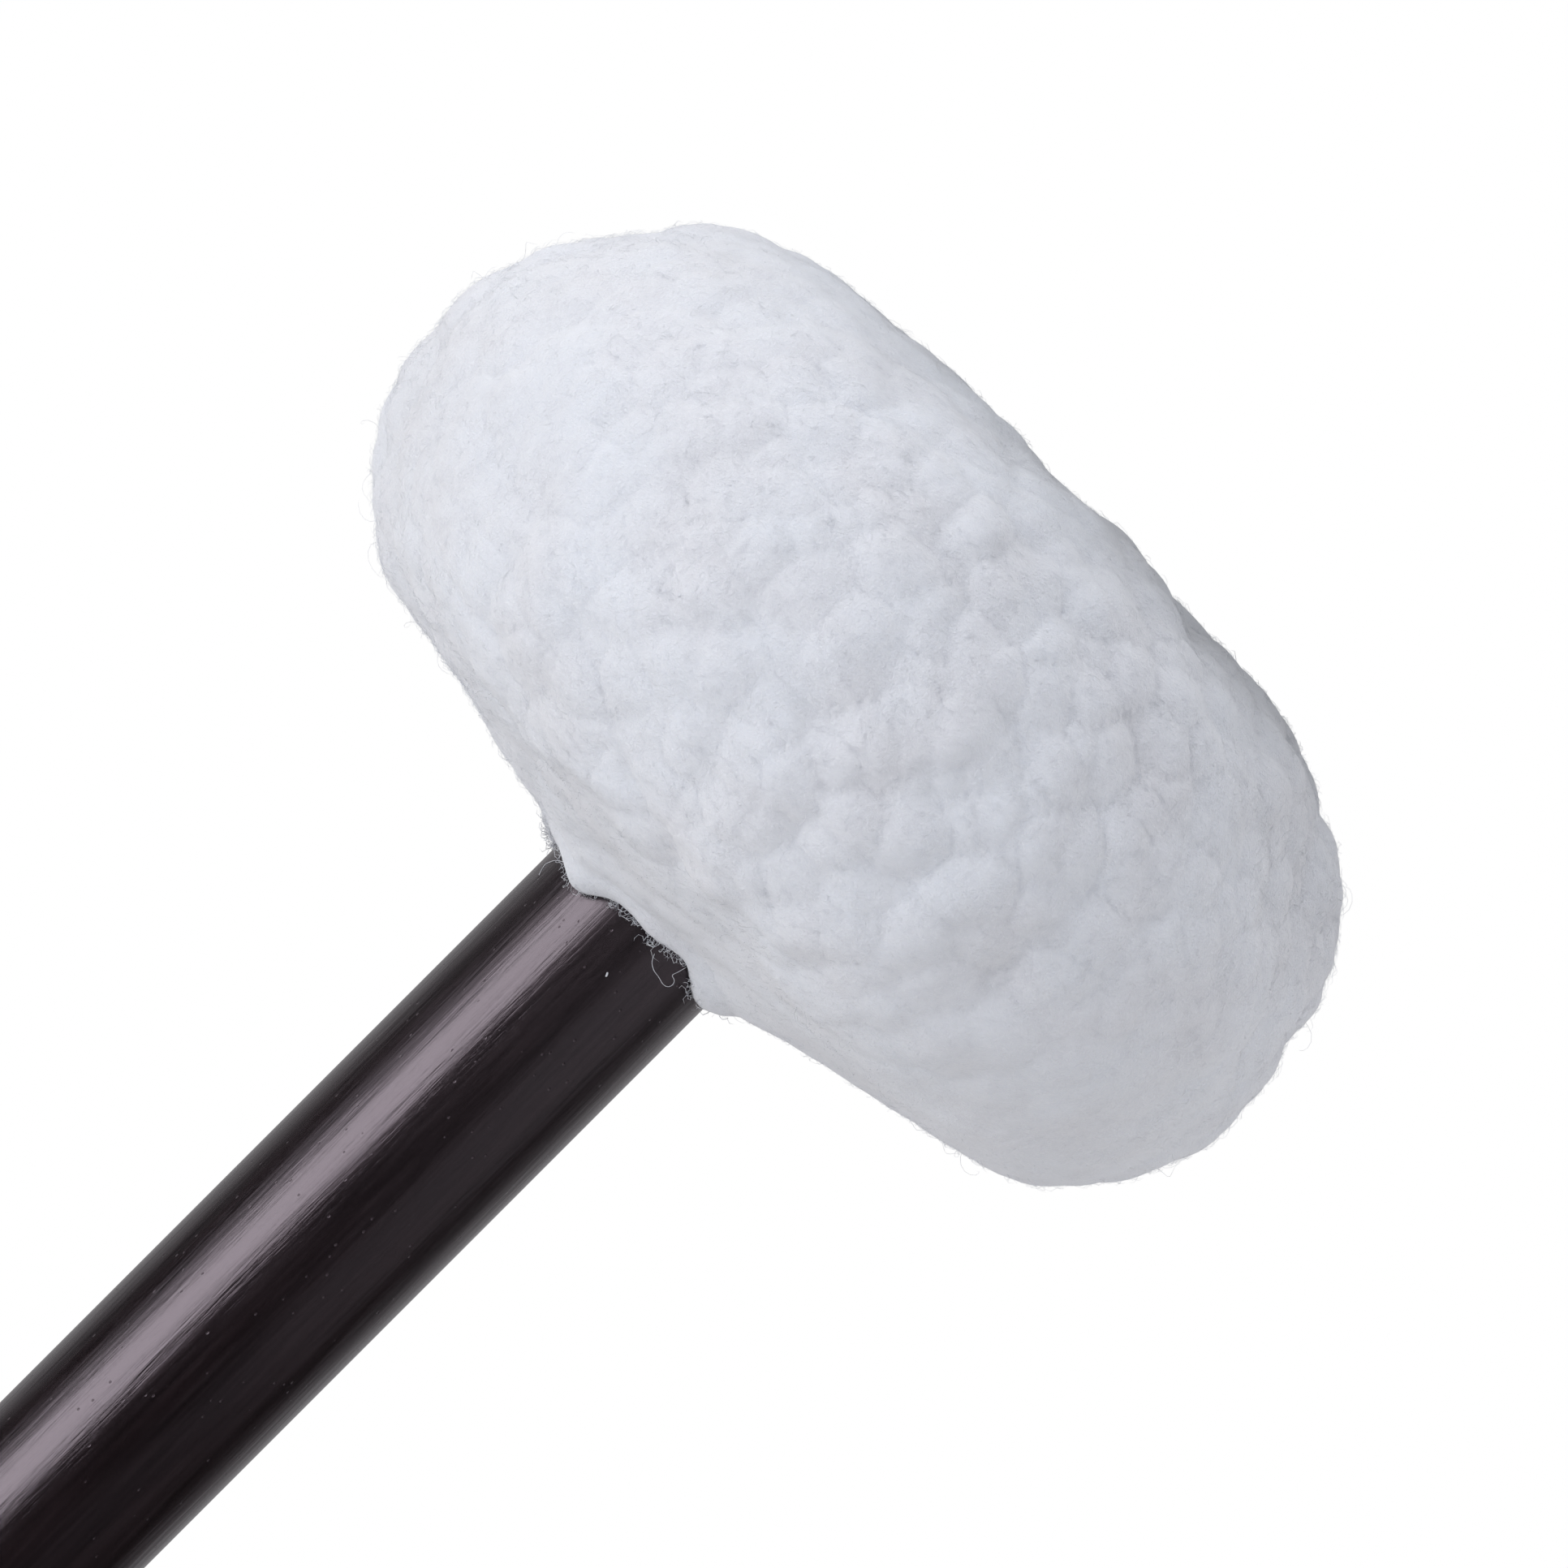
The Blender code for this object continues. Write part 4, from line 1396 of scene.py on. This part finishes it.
@dataclass(frozen=True)
class HeadOutline:
    """The fleece's outline from the front's centre to the lip at the handle, and back along its inside."""

    widest: Point = (63.95 * MM, 35.2 * MM)
    flat_radius: float = 28 * MM
    rim_pull: float = 13 * MM
    shoulder: Point = (45.45 * MM, 61.475 * MM)
    shoulder_pull: float = 10 * MM
    lip_edge: Point = (17.3 * MM, 67.175 * MM)
    lip_top: Point = (12.62 * MM, 68.9 * MM)
    lip_floor: float = 65.0 * MM
    lip_bulge: float = 0.9 * MM
    lip_roll: Point = (0.35, 0.7)
    cover_gap: float = 2.9 * MM
    steps: int = 60

    def outside(self) -> np.ndarray:
        """The outer line.

        Returns:
            Its points, across and up.
        """
        turn_by = np.linspace(0, math.pi / 2, self.steps)
        across = self.flat_radius + (self.widest[0] - self.flat_radius) * np.sin(turn_by)
        front = np.stack([across, self.widest[1] * (1 - np.cos(turn_by))], axis=1)
        widest, shoulder, edge = (np.array(p) for p in (self.widest, self.shoulder, self.lip_edge))
        fall = unit(shoulder - edge)
        pulls = (widest, widest + (0, self.rim_pull), shoulder + fall * self.shoulder_pull, shoulder)
        t = np.linspace(0, 1, self.steps)[1:, None]
        weights = ((1 - t) ** 3, 3 * (1 - t) ** 2 * t, 3 * (1 - t) * t**2, t**3)
        rear = sum(w * p for w, p in zip(weights, pulls))
        top = np.array(self.lip_top)
        bulge = np.array((0.0, self.lip_bulge))
        roll = [edge + (top - edge) * s + bulge * math.sin(math.pi * s) for s in self.lip_roll]
        return np.vstack([[(0, 0)], front, rear, edge, *roll, top])

    def inside(self, form: PaddedForm) -> np.ndarray:
        """The inner line, just outside the fleece's knit ground.

        Args:
            form: The padding that it follows.

        Returns:
            Its points, from the lip back to the axis.
        """
        line = form.outline(self.cover_gap)
        to_rim = np.arange(len(line)) < np.argmax(line[:, 0])
        kept = line[to_rim | (line[:, 0] > form.pocket)]
        pocket = (form.pocket, form.rear(form.pocket, self.cover_gap))
        floor = [(self.lip_top[0], self.lip_floor), (form.pocket, self.lip_floor)]
        return np.vstack([floor, pocket, kept[::-1]])


@dataclass(frozen=True)
class Lobe:
    """A tongue of fleece at the lip: where it lies round the handle, its reach and its width in degrees."""

    angle: float
    reach: float
    width: float


@dataclass(frozen=True)
class Clump:
    """One size of soft lump: how large and high, where it lies, how bent, and how deep its creases."""

    size: float
    height: float
    shift: float
    warp: float = 0.34
    groove: float = 0.0


@dataclass(frozen=True)
class CalmSide:
    """A side on which the pile lies smooth: where it faces and how much of the relief it loses."""

    facing: Place
    loss: float


@dataclass(frozen=True)
class Hollow:
    """A deeper crease in the pile, seen from -Y: where it lies, how deep and how wide it is."""

    across: float
    up: float
    depth: float
    width: float


@dataclass(frozen=True)
class Clumps:
    """The soft lumps of the pile, large ones with smaller ones on them."""

    layers: tuple[Clump, ...] = (
        Clump(19 * MM, 2.3 * MM, 17.1),
        Clump(9.5 * MM, 1.05 * MM, 8.55),
        Clump(6.4 * MM, 1.1 * MM, 3.96, warp=0.14, groove=0.42),
    )
    crease: float = 9.0
    crown: float = 0.5
    dip: float = 2.2
    groove_edge: float = 10.0
    bends: float = 0.8
    middle: float = 35.2 * MM
    calm_edge: float = 1.5
    calm_sides: tuple[CalmSide, ...] = (
        CalmSide((0.84, -0.46, -0.2), 0.62),
        CalmSide((-0.76, -0.3, 0.57), 0.80),
    )
    hollows: tuple[Hollow, ...] = (
        Hollow(-15 * MM, 32 * MM, 1.9 * MM, 4.5 * MM),
        Hollow(-2 * MM, 11 * MM, 1.5 * MM, 4.0 * MM),
        Hollow(28 * MM, 32 * MM, 1.2 * MM, 4.0 * MM),
        Hollow(1 * MM, 38 * MM, 1.1 * MM, 3.5 * MM),
        Hollow(-9 * MM, 62.5 * MM, 1.3 * MM, 5.0 * MM),
    )

    def domes(self, points: np.ndarray, clump: Clump) -> np.ndarray:
        """Rounded lumps that meet in creases.

        Args:
            points: Where the height is read.
            clump: The lumps' size and shift.

        Returns:
            A height for each point, about -1 in the creases and 0.5 on the lumps.
        """
        warped = points / clump.size + clump.warp * drift(points, clump.size * self.bends, clump.shift)
        heights = np.empty(len(points))
        for i, where in enumerate(warped):
            near = np.array(noise.voronoi(Vector(where))[0][:3])
            soft = -math.log(np.exp(-self.crease * near).sum()) / self.crease
            groove = clump.groove * math.exp(self.groove_edge * (near[0] - near[1]))
            heights[i] = self.crown - self.dip * max(soft, 0) ** 2 - groove
        return heights

    def lively(self, points: np.ndarray) -> np.ndarray:
        """How rough the pile is.

        Args:
            points: Where it is read.

        Returns:
            A share for each point: 1, and less on the calm sides.
        """
        outward = unit(points - (0, 0, self.middle))
        share = np.ones(len(points))
        for side in self.calm_sides:
            facing = np.clip(outward @ unit(np.array(side.facing)), 0, 1)
            share *= 1 - side.loss * facing**self.calm_edge
        return share

    def relief(self, points: np.ndarray) -> np.ndarray:
        """How far the fleece stands proud, or lies low.

        Args:
            points: Where it is read.

        Returns:
            A height for each point.
        """
        total = sum(clump.height * self.domes(points, clump) for clump in self.layers)
        total = total * self.lively(points)
        for hollow in self.hollows:
            apart = np.hypot(points[:, 0] - hollow.across, points[:, 2] - hollow.up)
            total -= hollow.depth * np.exp(-((apart / hollow.width) ** 2)) * (points[:, 1] < 0)
        return total


@dataclass
class Fleece:
    """The pile of the head: a soft clumped body and the fibres that stand on it."""

    form: PaddedForm
    outline: HeadOutline = HeadOutline()
    clumps: Clumps = Clumps()
    cuts: int = 118
    lip_share: float = 0.79
    relief_along: tuple[float, ...] = (0.14, 0.38, 0.70, 0.84)
    relief_shares: tuple[float, ...] = (0.35, 1.0, 1.0, 0.5)
    front_press: tuple[float, float, float] = (1.1 * MM, 0.14, 0.2)
    open_end: float = 0.05
    lip_run: Point = (0.86, 0.14)
    lip_ease: float = 1.5
    nearby: float = 0.01
    lobes: tuple[Lobe, ...] = (
        Lobe(-56, 2.0 * MM, 13),
        Lobe(-84, -0.8 * MM, 14),
        Lobe(-118, -1.2 * MM, 15),
        Lobe(-150, 1.6 * MM, 16),
        Lobe(-10, -0.6 * MM, 15),
        Lobe(40, 1.3 * MM, 20),
        Lobe(95, -1.0 * MM, 16),
        Lobe(130, 1.2 * MM, 18),
    )
    body_finish: FleecePile = FleecePile()
    fibre_finish: FleeceFibre = FleeceFibre()
    seed: int = 20

    def build(self) -> None:
        """Builds the body and its fibres, and dresses them."""
        body = self.body()
        dress(body, "fleece_pile", "fleece_pile")
        skin = Skin(body.data, self.clumps)
        coat = self.fibre_finish.material()
        nap = Strand(3, (1.3 * MM, 2.8 * MM), width=0.04 * MM, lift=0.16, curl=0.28)
        curls = Strand(7, (0.9 * MM, 2.3 * MM), width=0.095 * MM, lift=0.75, curl=0.55, bent=9.0)
        strays = Strand(8, (3 * MM, 6.5 * MM), width=0.05 * MM, lift=0.35, curl=0.35, bent=6.0)
        sets = (
            ("fleece_nap_front", 8000, Along.FRONT, nap),
            ("fleece_nap_rim_1", 12000, Along.RIM, nap),
            ("fleece_nap_rim_2", 12000, Along.RIM, nap),
            ("fleece_nap_rim_3", 8000, Along.RIM, nap),
            ("fleece_nap_shoulder_1", 8000, Along.SHOULDER, nap),
            ("fleece_nap_shoulder_2", 8000, Along.SHOULDER, nap),
            ("fleece_nap_neck", 4000, Along.NECK, nap),
            ("fleece_curls_lip", 540, Along.LIP, curls),
            ("fleece_strays_rim", 220, Along.RIM, strays),
            ("fleece_strays_shoulder", 220, Along.SHOULDER, strays),
        )
        for number, (name, count, stretch, strand) in enumerate(sets):
            rng = np.random.default_rng(self.seed + number)
            roots, normals = skin.scatter(count, stretch, rng)
            dress(strand.grow(name, roots, normals, coat, rng), "fleece_pile")
        Hairs().build(coat)

    def body(self) -> bpy.types.Object:
        """The pile's closed body, its outside clumped and its inside as the cloth under it.

        Returns:
            The body.
        """
        shape = bmesh.new()
        bmesh.ops.create_cube(shape, size=2)
        bmesh.ops.subdivide_edges(shape, edges=shape.edges, cuts=self.cuts, use_grid_fill=True)
        made = object_from("fleece_body", shape, self.body_finish.material())
        mesh = made.data
        ball = unit(np.tan(read(mesh.vertices, "co") * math.pi / 4))
        down = np.arccos(np.clip(-ball[:, 2], -1, 1)) / math.pi
        round_by = np.arctan2(ball[:, 1], ball[:, 0])
        along = down / self.lip_share
        outside, inside = self.outline.outside(), self.outline.inside(self.form)
        across_out, up_out = self.follow(outside, np.clip(along, 0, 1))
        across_in, up_in = self.follow(inside, share_of(down, self.lip_share, 1 - self.lip_share))
        outer = along <= 1
        across = np.where(outer, across_out, across_in)
        lifted = np.where(up_in > self.form.rear_seat, self.form.lift(across_in, round_by), 0)
        up = np.where(outer, up_out, up_in + lifted)
        places = round_axis(across, round_by, up)
        places[outer] = self.clumped(places[outer], along[outer], outside)
        mesh.vertices.foreach_set("co", places.ravel())
        mesh.attributes.new("along", "FLOAT", "POINT").data.foreach_set("value", along)
        mesh.update()
        return made

    @staticmethod
    def follow(line: np.ndarray, share: np.ndarray) -> tuple[np.ndarray, np.ndarray]:
        """Points at shares of a line's length.

        Args:
            line: The line's points.
            share: From 0 at its start to 1 at its end.

        Returns:
            How far across and how far up each point is.
        """
        run = run_along(line)
        run /= run[-1]
        return np.interp(share, run, line[:, 0]), np.interp(share, run, line[:, 1])

    def clumped(self, places: np.ndarray, along: np.ndarray, outside: np.ndarray) -> np.ndarray:
        """Moves the outer skin's corners out and in by the clumps, and the lip's by its lobes.

        Args:
            places: The corners on the smooth outline.
            along: Their shares of the outer line.
            outside: The outer line.

        Returns:
            The corners' new places.
        """
        steps = (self.nearby, -self.nearby)
        ahead, behind = (self.follow(outside, np.clip(along + step, 0, 1)) for step in steps)
        run = unit(np.stack([ahead[0] - behind[0], ahead[1] - behind[1]], axis=1))
        round_by = np.arctan2(places[:, 1], places[:, 0])
        out = round_axis(run[:, 1], round_by, -run[:, 0])
        depth, start, length = self.front_press
        raised = self.clumps.relief(places) * np.interp(along, self.relief_along, self.relief_shares)
        raised = raised - depth * (1 - share_of(along, start, length))
        raised = raised * share_of(1 - along, 0, self.open_end)
        moved = places + out * raised[:, None]
        near_lip = share_of(along, *self.lip_run) ** self.lip_ease
        turned = np.degrees(round_by)
        for lobe in self.lobes:
            apart = (turned - lobe.angle + 180) % 360 - 180
            moved[:, 2] += near_lip * lobe.reach * np.exp(-((apart / lobe.width) ** 2))
        return moved


class Skin:
    """The fleece body's outer skin, from which fibres grow."""

    def __init__(self, mesh: bpy.types.Mesh, clumps: Clumps) -> None:
        """Reads the body's mesh.

        Args:
            mesh: The body's mesh, with each corner's place along the outer line.
            clumps: Its lumps, whose calm sides grow fewer fibres.
        """
        mesh.calc_loop_triangles()
        self.places, self.normals = read(mesh.vertices, "co"), read(mesh.vertices, "normal")
        self.faces = read(mesh.loop_triangles, "vertices", np.int32)
        along = np.empty(len(mesh.vertices))
        mesh.attributes["along"].data.foreach_get("value", along)
        a, b, c = (self.places[self.faces[:, i]] for i in range(3))
        areas = np.linalg.norm(np.cross(b - a, c - a), axis=1) / 2
        self.weights = areas * clumps.lively((a + b + c) / 3)
        self.along = along[self.faces].mean(axis=1)

    def scatter(self, count: int, stretch: Along, rng: np.random.Generator) -> tuple[np.ndarray, np.ndarray]:
        """Spreads roots over a stretch of the skin, fewer of them on its calm sides.

        Args:
            count: The number of roots.
            stretch: Which part of the skin.
            rng: The source of chance.

        Returns:
            Their places and the skin's normals there.
        """
        start, end = stretch.value
        weight = np.where((self.along >= start) & (self.along < end), self.weights, 0)
        picked = self.faces[rng.choice(len(self.faces), count, p=weight / weight.sum())]
        first, second = rng.random((2, count))
        over = first + second > 1
        first[over], second[over] = 1 - first[over], 1 - second[over]
        shares = np.stack([1 - first - second, first, second], axis=1)[:, :, None]
        return (self.places[picked] * shares).sum(axis=1), unit((self.normals[picked] * shares).sum(axis=1))


@dataclass(frozen=True)
class Strand:
    """A kind of fibre: a closed three-sided blade that tapers to a point."""

    segments: int
    length: tuple[float, float]
    width: float
    lift: float
    curl: float
    lift_shares: Point = (0.5, 1.5)
    sunk: float = 0.15 * MM
    swirl: float = 11 * MM
    swirl_seed: float = 3.1
    stray: float = 0.9
    bent: float = 5.2
    clear: float = 12.6 * MM
    combed: float = 2.2
    droop: float = 0.62
    waves: Point = (0.35, 0.4)
    slack: Point = (0.18, 0.3)
    taper: float = 0.45
    nearby: float = 0.02

    def blade(self) -> bmesh.types.BMesh:
        """The fibre's pattern.

        Returns:
            A cone of three sides with a ring at each segment, 1 long along +Z.
        """
        shape = bmesh.new()
        bmesh.ops.create_circle(shape, cap_ends=True, segments=3, radius=0.5)
        end = next(iter(shape.faces))
        for step in range(self.segments):
            end = drawn_on(shape, end, keep=step == 0)
            bmesh.ops.translate(shape, verts=end.verts, vec=(0, 0, 1 / self.segments))
        bmesh.ops.pointmerge(shape, verts=end.verts, merge_co=(0, 0, 1))
        bmesh.ops.recalc_face_normals(shape, faces=shape.faces)
        return shape

    def grow(
        self,
        name: str,
        roots: np.ndarray,
        normals: np.ndarray,
        material: bpy.types.Material,
        rng: np.random.Generator,
    ) -> bpy.types.Object:
        """Grows one fibre from each root.

        Args:
            name: The piece's name.
            roots: Where the fibres start.
            normals: The skin's normals there.
            material: Their finish.
            rng: The source of chance.

        Returns:
            The piece.
        """
        count = len(roots)
        flow = drift(roots, self.swirl, self.swirl_seed) * self.combed
        flow = flow + rng.normal(0, self.stray, (count, 3))
        flow = unit(flow - normals * (flow * normals).sum(axis=1, keepdims=True))
        side = np.cross(normals, flow)
        length = rng.uniform(*self.length, (count, 1, 1))
        lift = self.lift * rng.uniform(*self.lift_shares, (count, 1, 1))
        bend = self.curl * rng.normal(0, 1, (2, count, 1, 1))
        phase = rng.uniform(0, math.tau, (count, 1, 1))
        roots, normals, flow, side = (v[:, None, :] for v in (roots, normals, flow, side))

        def spine(t: np.ndarray) -> np.ndarray:
            """Points along each fibre.

            Args:
                t: The shares of its length.

            Returns:
                The points, for each fibre and share.
            """
            t = t[None, :, None]
            turned = self.bent * t + phase
            (up, aside), (short, bowed) = self.waves, self.slack
            rise = lift * (t - self.droop * t * t) + up * self.curl * (np.sin(turned) - np.sin(phase))
            sway = bend[0] * t * t + aside * self.curl * (np.cos(turned) - np.cos(phase))
            onward = t * (1 - short * t) + bowed * bend[1] * t * t
            line = roots - self.sunk * normals + length * (rise * normals + sway * side + onward * flow)
            across = np.linalg.norm(line[..., :2], axis=-1, keepdims=True)
            line[..., :2] *= np.maximum(self.clear / across, 1)
            line[..., 2] = np.maximum(line[..., 2], 0.5 * self.width)
            return line

        shape = self.blade()
        shape.verts.index_update()
        pattern = np.array([corner.co[:] for corner in shape.verts])
        faces = [[corner.index for corner in face.verts] for face in shape.faces]
        shape.free()
        rings = pattern[:, 2]
        centre = spine(rings)
        ahead = unit(spine(rings + self.nearby) - spine(rings - self.nearby))
        across = unit(np.cross(ahead, normals))
        outward = np.cross(across, ahead)
        thick = self.width * (1 - self.taper * rings[None, :, None])
        places = centre + thick * (pattern[None, :, 0:1] * across + pattern[None, :, 1:2] * outward)
        turned = np.arctan2(pattern[:, 1], pattern[:, 0]) / math.tau % 1
        return repeated(name, places, faces, material, cell=np.stack([turned, rings], axis=1))


def repeated(
    name: str,
    places: np.ndarray,
    faces: list[list[int]],
    material: bpy.types.Material,
    cell: np.ndarray,
) -> bpy.types.Object:
    """Makes one object of many copies of a small pattern, each with its own cell of the object's map.

    Args:
        name: The object's name.
        places: The corners of each copy.
        faces: The pattern's faces.
        material: Its finish.
        cell: Where each corner of the pattern lies in its cell, from 0 to 1.

    Returns:
        The object.
    """
    copies, corners = places.shape[:2]
    loops = np.concatenate([np.array(face) for face in faces])
    sizes = np.array([len(face) for face in faces])
    starts = np.concatenate([[0], np.cumsum(sizes)[:-1]])
    all_loops = (loops[None, :] + corners * np.arange(copies)[:, None]).ravel()
    all_starts = (starts[None, :] + len(loops) * np.arange(copies)[:, None]).ravel()
    mesh = bpy.data.meshes.new(name)
    mesh.vertices.add(copies * corners)
    mesh.loops.add(len(all_loops))
    mesh.polygons.add(len(all_starts))
    mesh.vertices.foreach_set("co", np.ascontiguousarray(places).ravel())
    mesh.loops.foreach_set("vertex_index", all_loops.astype(np.int32))
    mesh.polygons.foreach_set("loop_start", all_starts.astype(np.int32))
    mesh.update(calc_edges=True)
    mesh.validate()
    rows = math.ceil(math.sqrt(copies))
    number = np.arange(copies)
    cells = np.stack([number % rows, number // rows], axis=1)[:, None, :]
    flat = (cells + CELL_MARGIN + (1 - 2 * CELL_MARGIN) * cell[loops][None]) / rows
    mesh.uv_layers.new(name=FIBRE_MAP).data.foreach_set("uv", flat.ravel())
    return finished(name, mesh, material)


@dataclass(frozen=True)
class Hair:
    """A single fibre of the fleece that lies on the handle: its line as seen from -Y, across and up."""

    name: str
    line: tuple[Point, ...]
    radius: float = 0.035 * MM
    handle_radius: float = 12.5 * MM
    gap: float = 0.02 * MM
    steps: int = 60

    def build(self, material: bpy.types.Material) -> None:
        """Lays the fibre on the handle and dresses it.

        Args:
            material: Its finish.
        """
        corners = np.array(self.line) * MM
        run = run_along(corners)
        even = np.linspace(0, run[-1], self.steps)
        across, up = (np.interp(even, run, corners[:, axis]) for axis in (0, 1))
        for _ in range(2 * self.steps // len(corners)):
            for line in (across, up):
                line[1:-1] = (line[:-2] + 2 * line[1:-1] + line[2:]) / 4
        lies = self.handle_radius + self.radius + self.gap
        path = np.stack([across, -np.sqrt(lies**2 - across**2), up], axis=1)
        fibre = Yarn(radius=self.radius, plies=1, lay=1 * MM, groove=0.0, sides=8)
        dress(object_from(self.name, fibre.along(path), material), "fleece_pile")


@dataclass(frozen=True)
class Hairs:
    """The few fibres and the speck of lint on the handle beside the head."""

    long: tuple[Point, ...] = ((9.4, 68.9), (9.92, 69.45), (11.41, 70.42), (11.93, 71.65), (11.48, 72.96))
    looped: tuple[Point, ...] = (
        *((-4.04, 69.72), (-4.48, 70.69), (-5.35, 71.21), (-6.32, 71.29), (-7.19, 71.64), (-7.87, 71.44)),
        *((-8.07, 70.77), (-7.77, 70.21), (-7.02, 70.24), (-7.37, 69.55), (-7.68, 68.3)),
    )
    lint: tuple[Point, ...] = ((-1.80, 74.92), (-1.94, 75.16), (-2.02, 75.42))
    lint_radius: float = 0.11 * MM

    def build(self, material: bpy.types.Material) -> None:
        """Lays them all.

        Args:
            material: Their finish.
        """
        Hair("handle_hair_1", self.long).build(material)
        Hair("handle_hair_2", self.looped).build(material)
        Hair("handle_lint", self.lint, self.lint_radius).build(material)


# The studio


@dataclass(frozen=True)
class SoftBox:
    """A soft lamp: where it stands, what it looks at, how large it is and how bright."""

    name: str
    stands: Place
    size: Point
    power: float
    colour: Colour = (0.965, 0.973, 1.0)
    looks_at: Place = (0, 0, 0.10)

    def build(self) -> None:
        """Hangs the lamp."""
        lamp = bpy.data.lights.new(self.name, "AREA")
        lamp.shape = "RECTANGLE"
        lamp.size, lamp.size_y = self.size
        lamp.energy = self.power
        lamp.color = self.colour
        made = placed(self.name, lamp)
        made.location = self.stands
        made.rotation_euler = (Vector(self.looks_at) - made.location).to_track_quat("-Z", "Y").to_euler()
        made.visible_camera = False


@dataclass
class Studio:
    """The floor, the lamps, the white surroundings and the camera."""

    lens: float = 150.0
    sensor: float = 36.0
    target: Place = (-0.86 * MM, 0, 46 * MM)
    clip: Point = (0.01, 50)
    floor_side: float = 12.0
    sky: Colour = (0.99, 0.975, 1.0)
    sky_dim: float = 0.012
    glows: tuple[tuple[str, float, float, float], ...] = (("Y", 0.2, 0.8, 0.40), ("Z", 0.1, 0.9, 0.68))
    lamps: tuple[SoftBox, ...] = (
        SoftBox("key_light", (0.92, -0.77, 0.10), (0.75, 1.5), 13.9),
        SoftBox("side_light", (1.16, -0.31, 0.10), (0.5, 1.5), 2.0),
        SoftBox("far_side_light", (-1.04, -0.60, 0.10), (1.3, 0.35), 0.36),
        SoftBox("fill_light", (-0.60, -0.55, 1.10), (0.4, 0.4), 3.2),
    )

    def build(self) -> None:
        """Sets up everything round the mallet."""
        self.camera()
        self.floor()
        self.surroundings()
        for lamp in self.lamps:
            lamp.build()
        bpy.context.scene.view_settings.view_transform = "Standard"

    def camera(self) -> None:
        """Stands the camera level with the head, rolled so that the handle runs to the lower left."""
        view = bpy.data.cameras.new("camera")
        view.lens, view.sensor_width = self.lens, self.sensor
        wide = PHOTO_PIXELS * MM_PER_PIXEL * MM
        away = wide / 2 / (self.sensor / 2 / self.lens)
        right = Vector((-1, 0, -1)).normalized()
        above = Vector((1, 0, -1)).normalized()
        back = right.cross(above)
        made = placed("camera", view)
        turned = Matrix((right, above, back)).transposed().to_4x4()
        made.matrix_world = Matrix.Translation(Vector(self.target) + back * away) @ turned
        view.clip_start, view.clip_end = self.clip
        bpy.context.scene.camera = made

    def floor(self) -> None:
        """Lays the floor under the head."""
        shape = bmesh.new()
        bmesh.ops.create_grid(shape, x_segments=1, y_segments=1, size=self.floor_side / 2)
        object_from("floor", shape, PaleFloor().material())

    def surroundings(self) -> None:
        """Lights the scene from all round, more from behind and above; the camera sees plain white."""
        world = bpy.data.worlds.new("studio")
        bpy.context.scene.world = world
        world.use_nodes = True
        world.node_tree.nodes.clear()
        made = Nodes(world.node_tree)
        where = made.add("ShaderNodeTexCoord").outputs["Generated"]
        split = made.add("ShaderNodeSeparateXYZ", {0: where}).outputs
        total = self.sky_dim
        for axis, start, end, glow in self.glows:
            total = made.maths("ADD", made.ramp(split[axis], start, end, 0, glow, "SMOOTHSTEP"), total)
        around = made.add("ShaderNodeBackground", {"Color": self.sky, "Strength": total})
        white = made.add("ShaderNodeBackground", {"Color": Paint.STUDIO_WHITE.value, "Strength": 1.0})
        output = made.add("ShaderNodeOutputWorld")
        made.feed(output.inputs["Surface"], made.seen(around.outputs[0], white.outputs[0]))


def corners(box: tuple[Vector, Vector]) -> list[list[float]]:
    """A box's two corners as plain lists of numbers."""
    return [[float(x) for x in corner] for corner in box]


def main() -> None:
    """Builds the mallet's pieces and the studio round them."""
    logging.basicConfig(level=logging.INFO, format="%(name)s: %(message)s")
    form = PaddedForm()
    bare = (Studio(), Handle(), Core(), CoreScrew())
    for part in (*bare, FeltWinding(form), Pads(form), Cover(form), Fleece(form)):
        part.build()


if __name__ == "__main__":
    main()
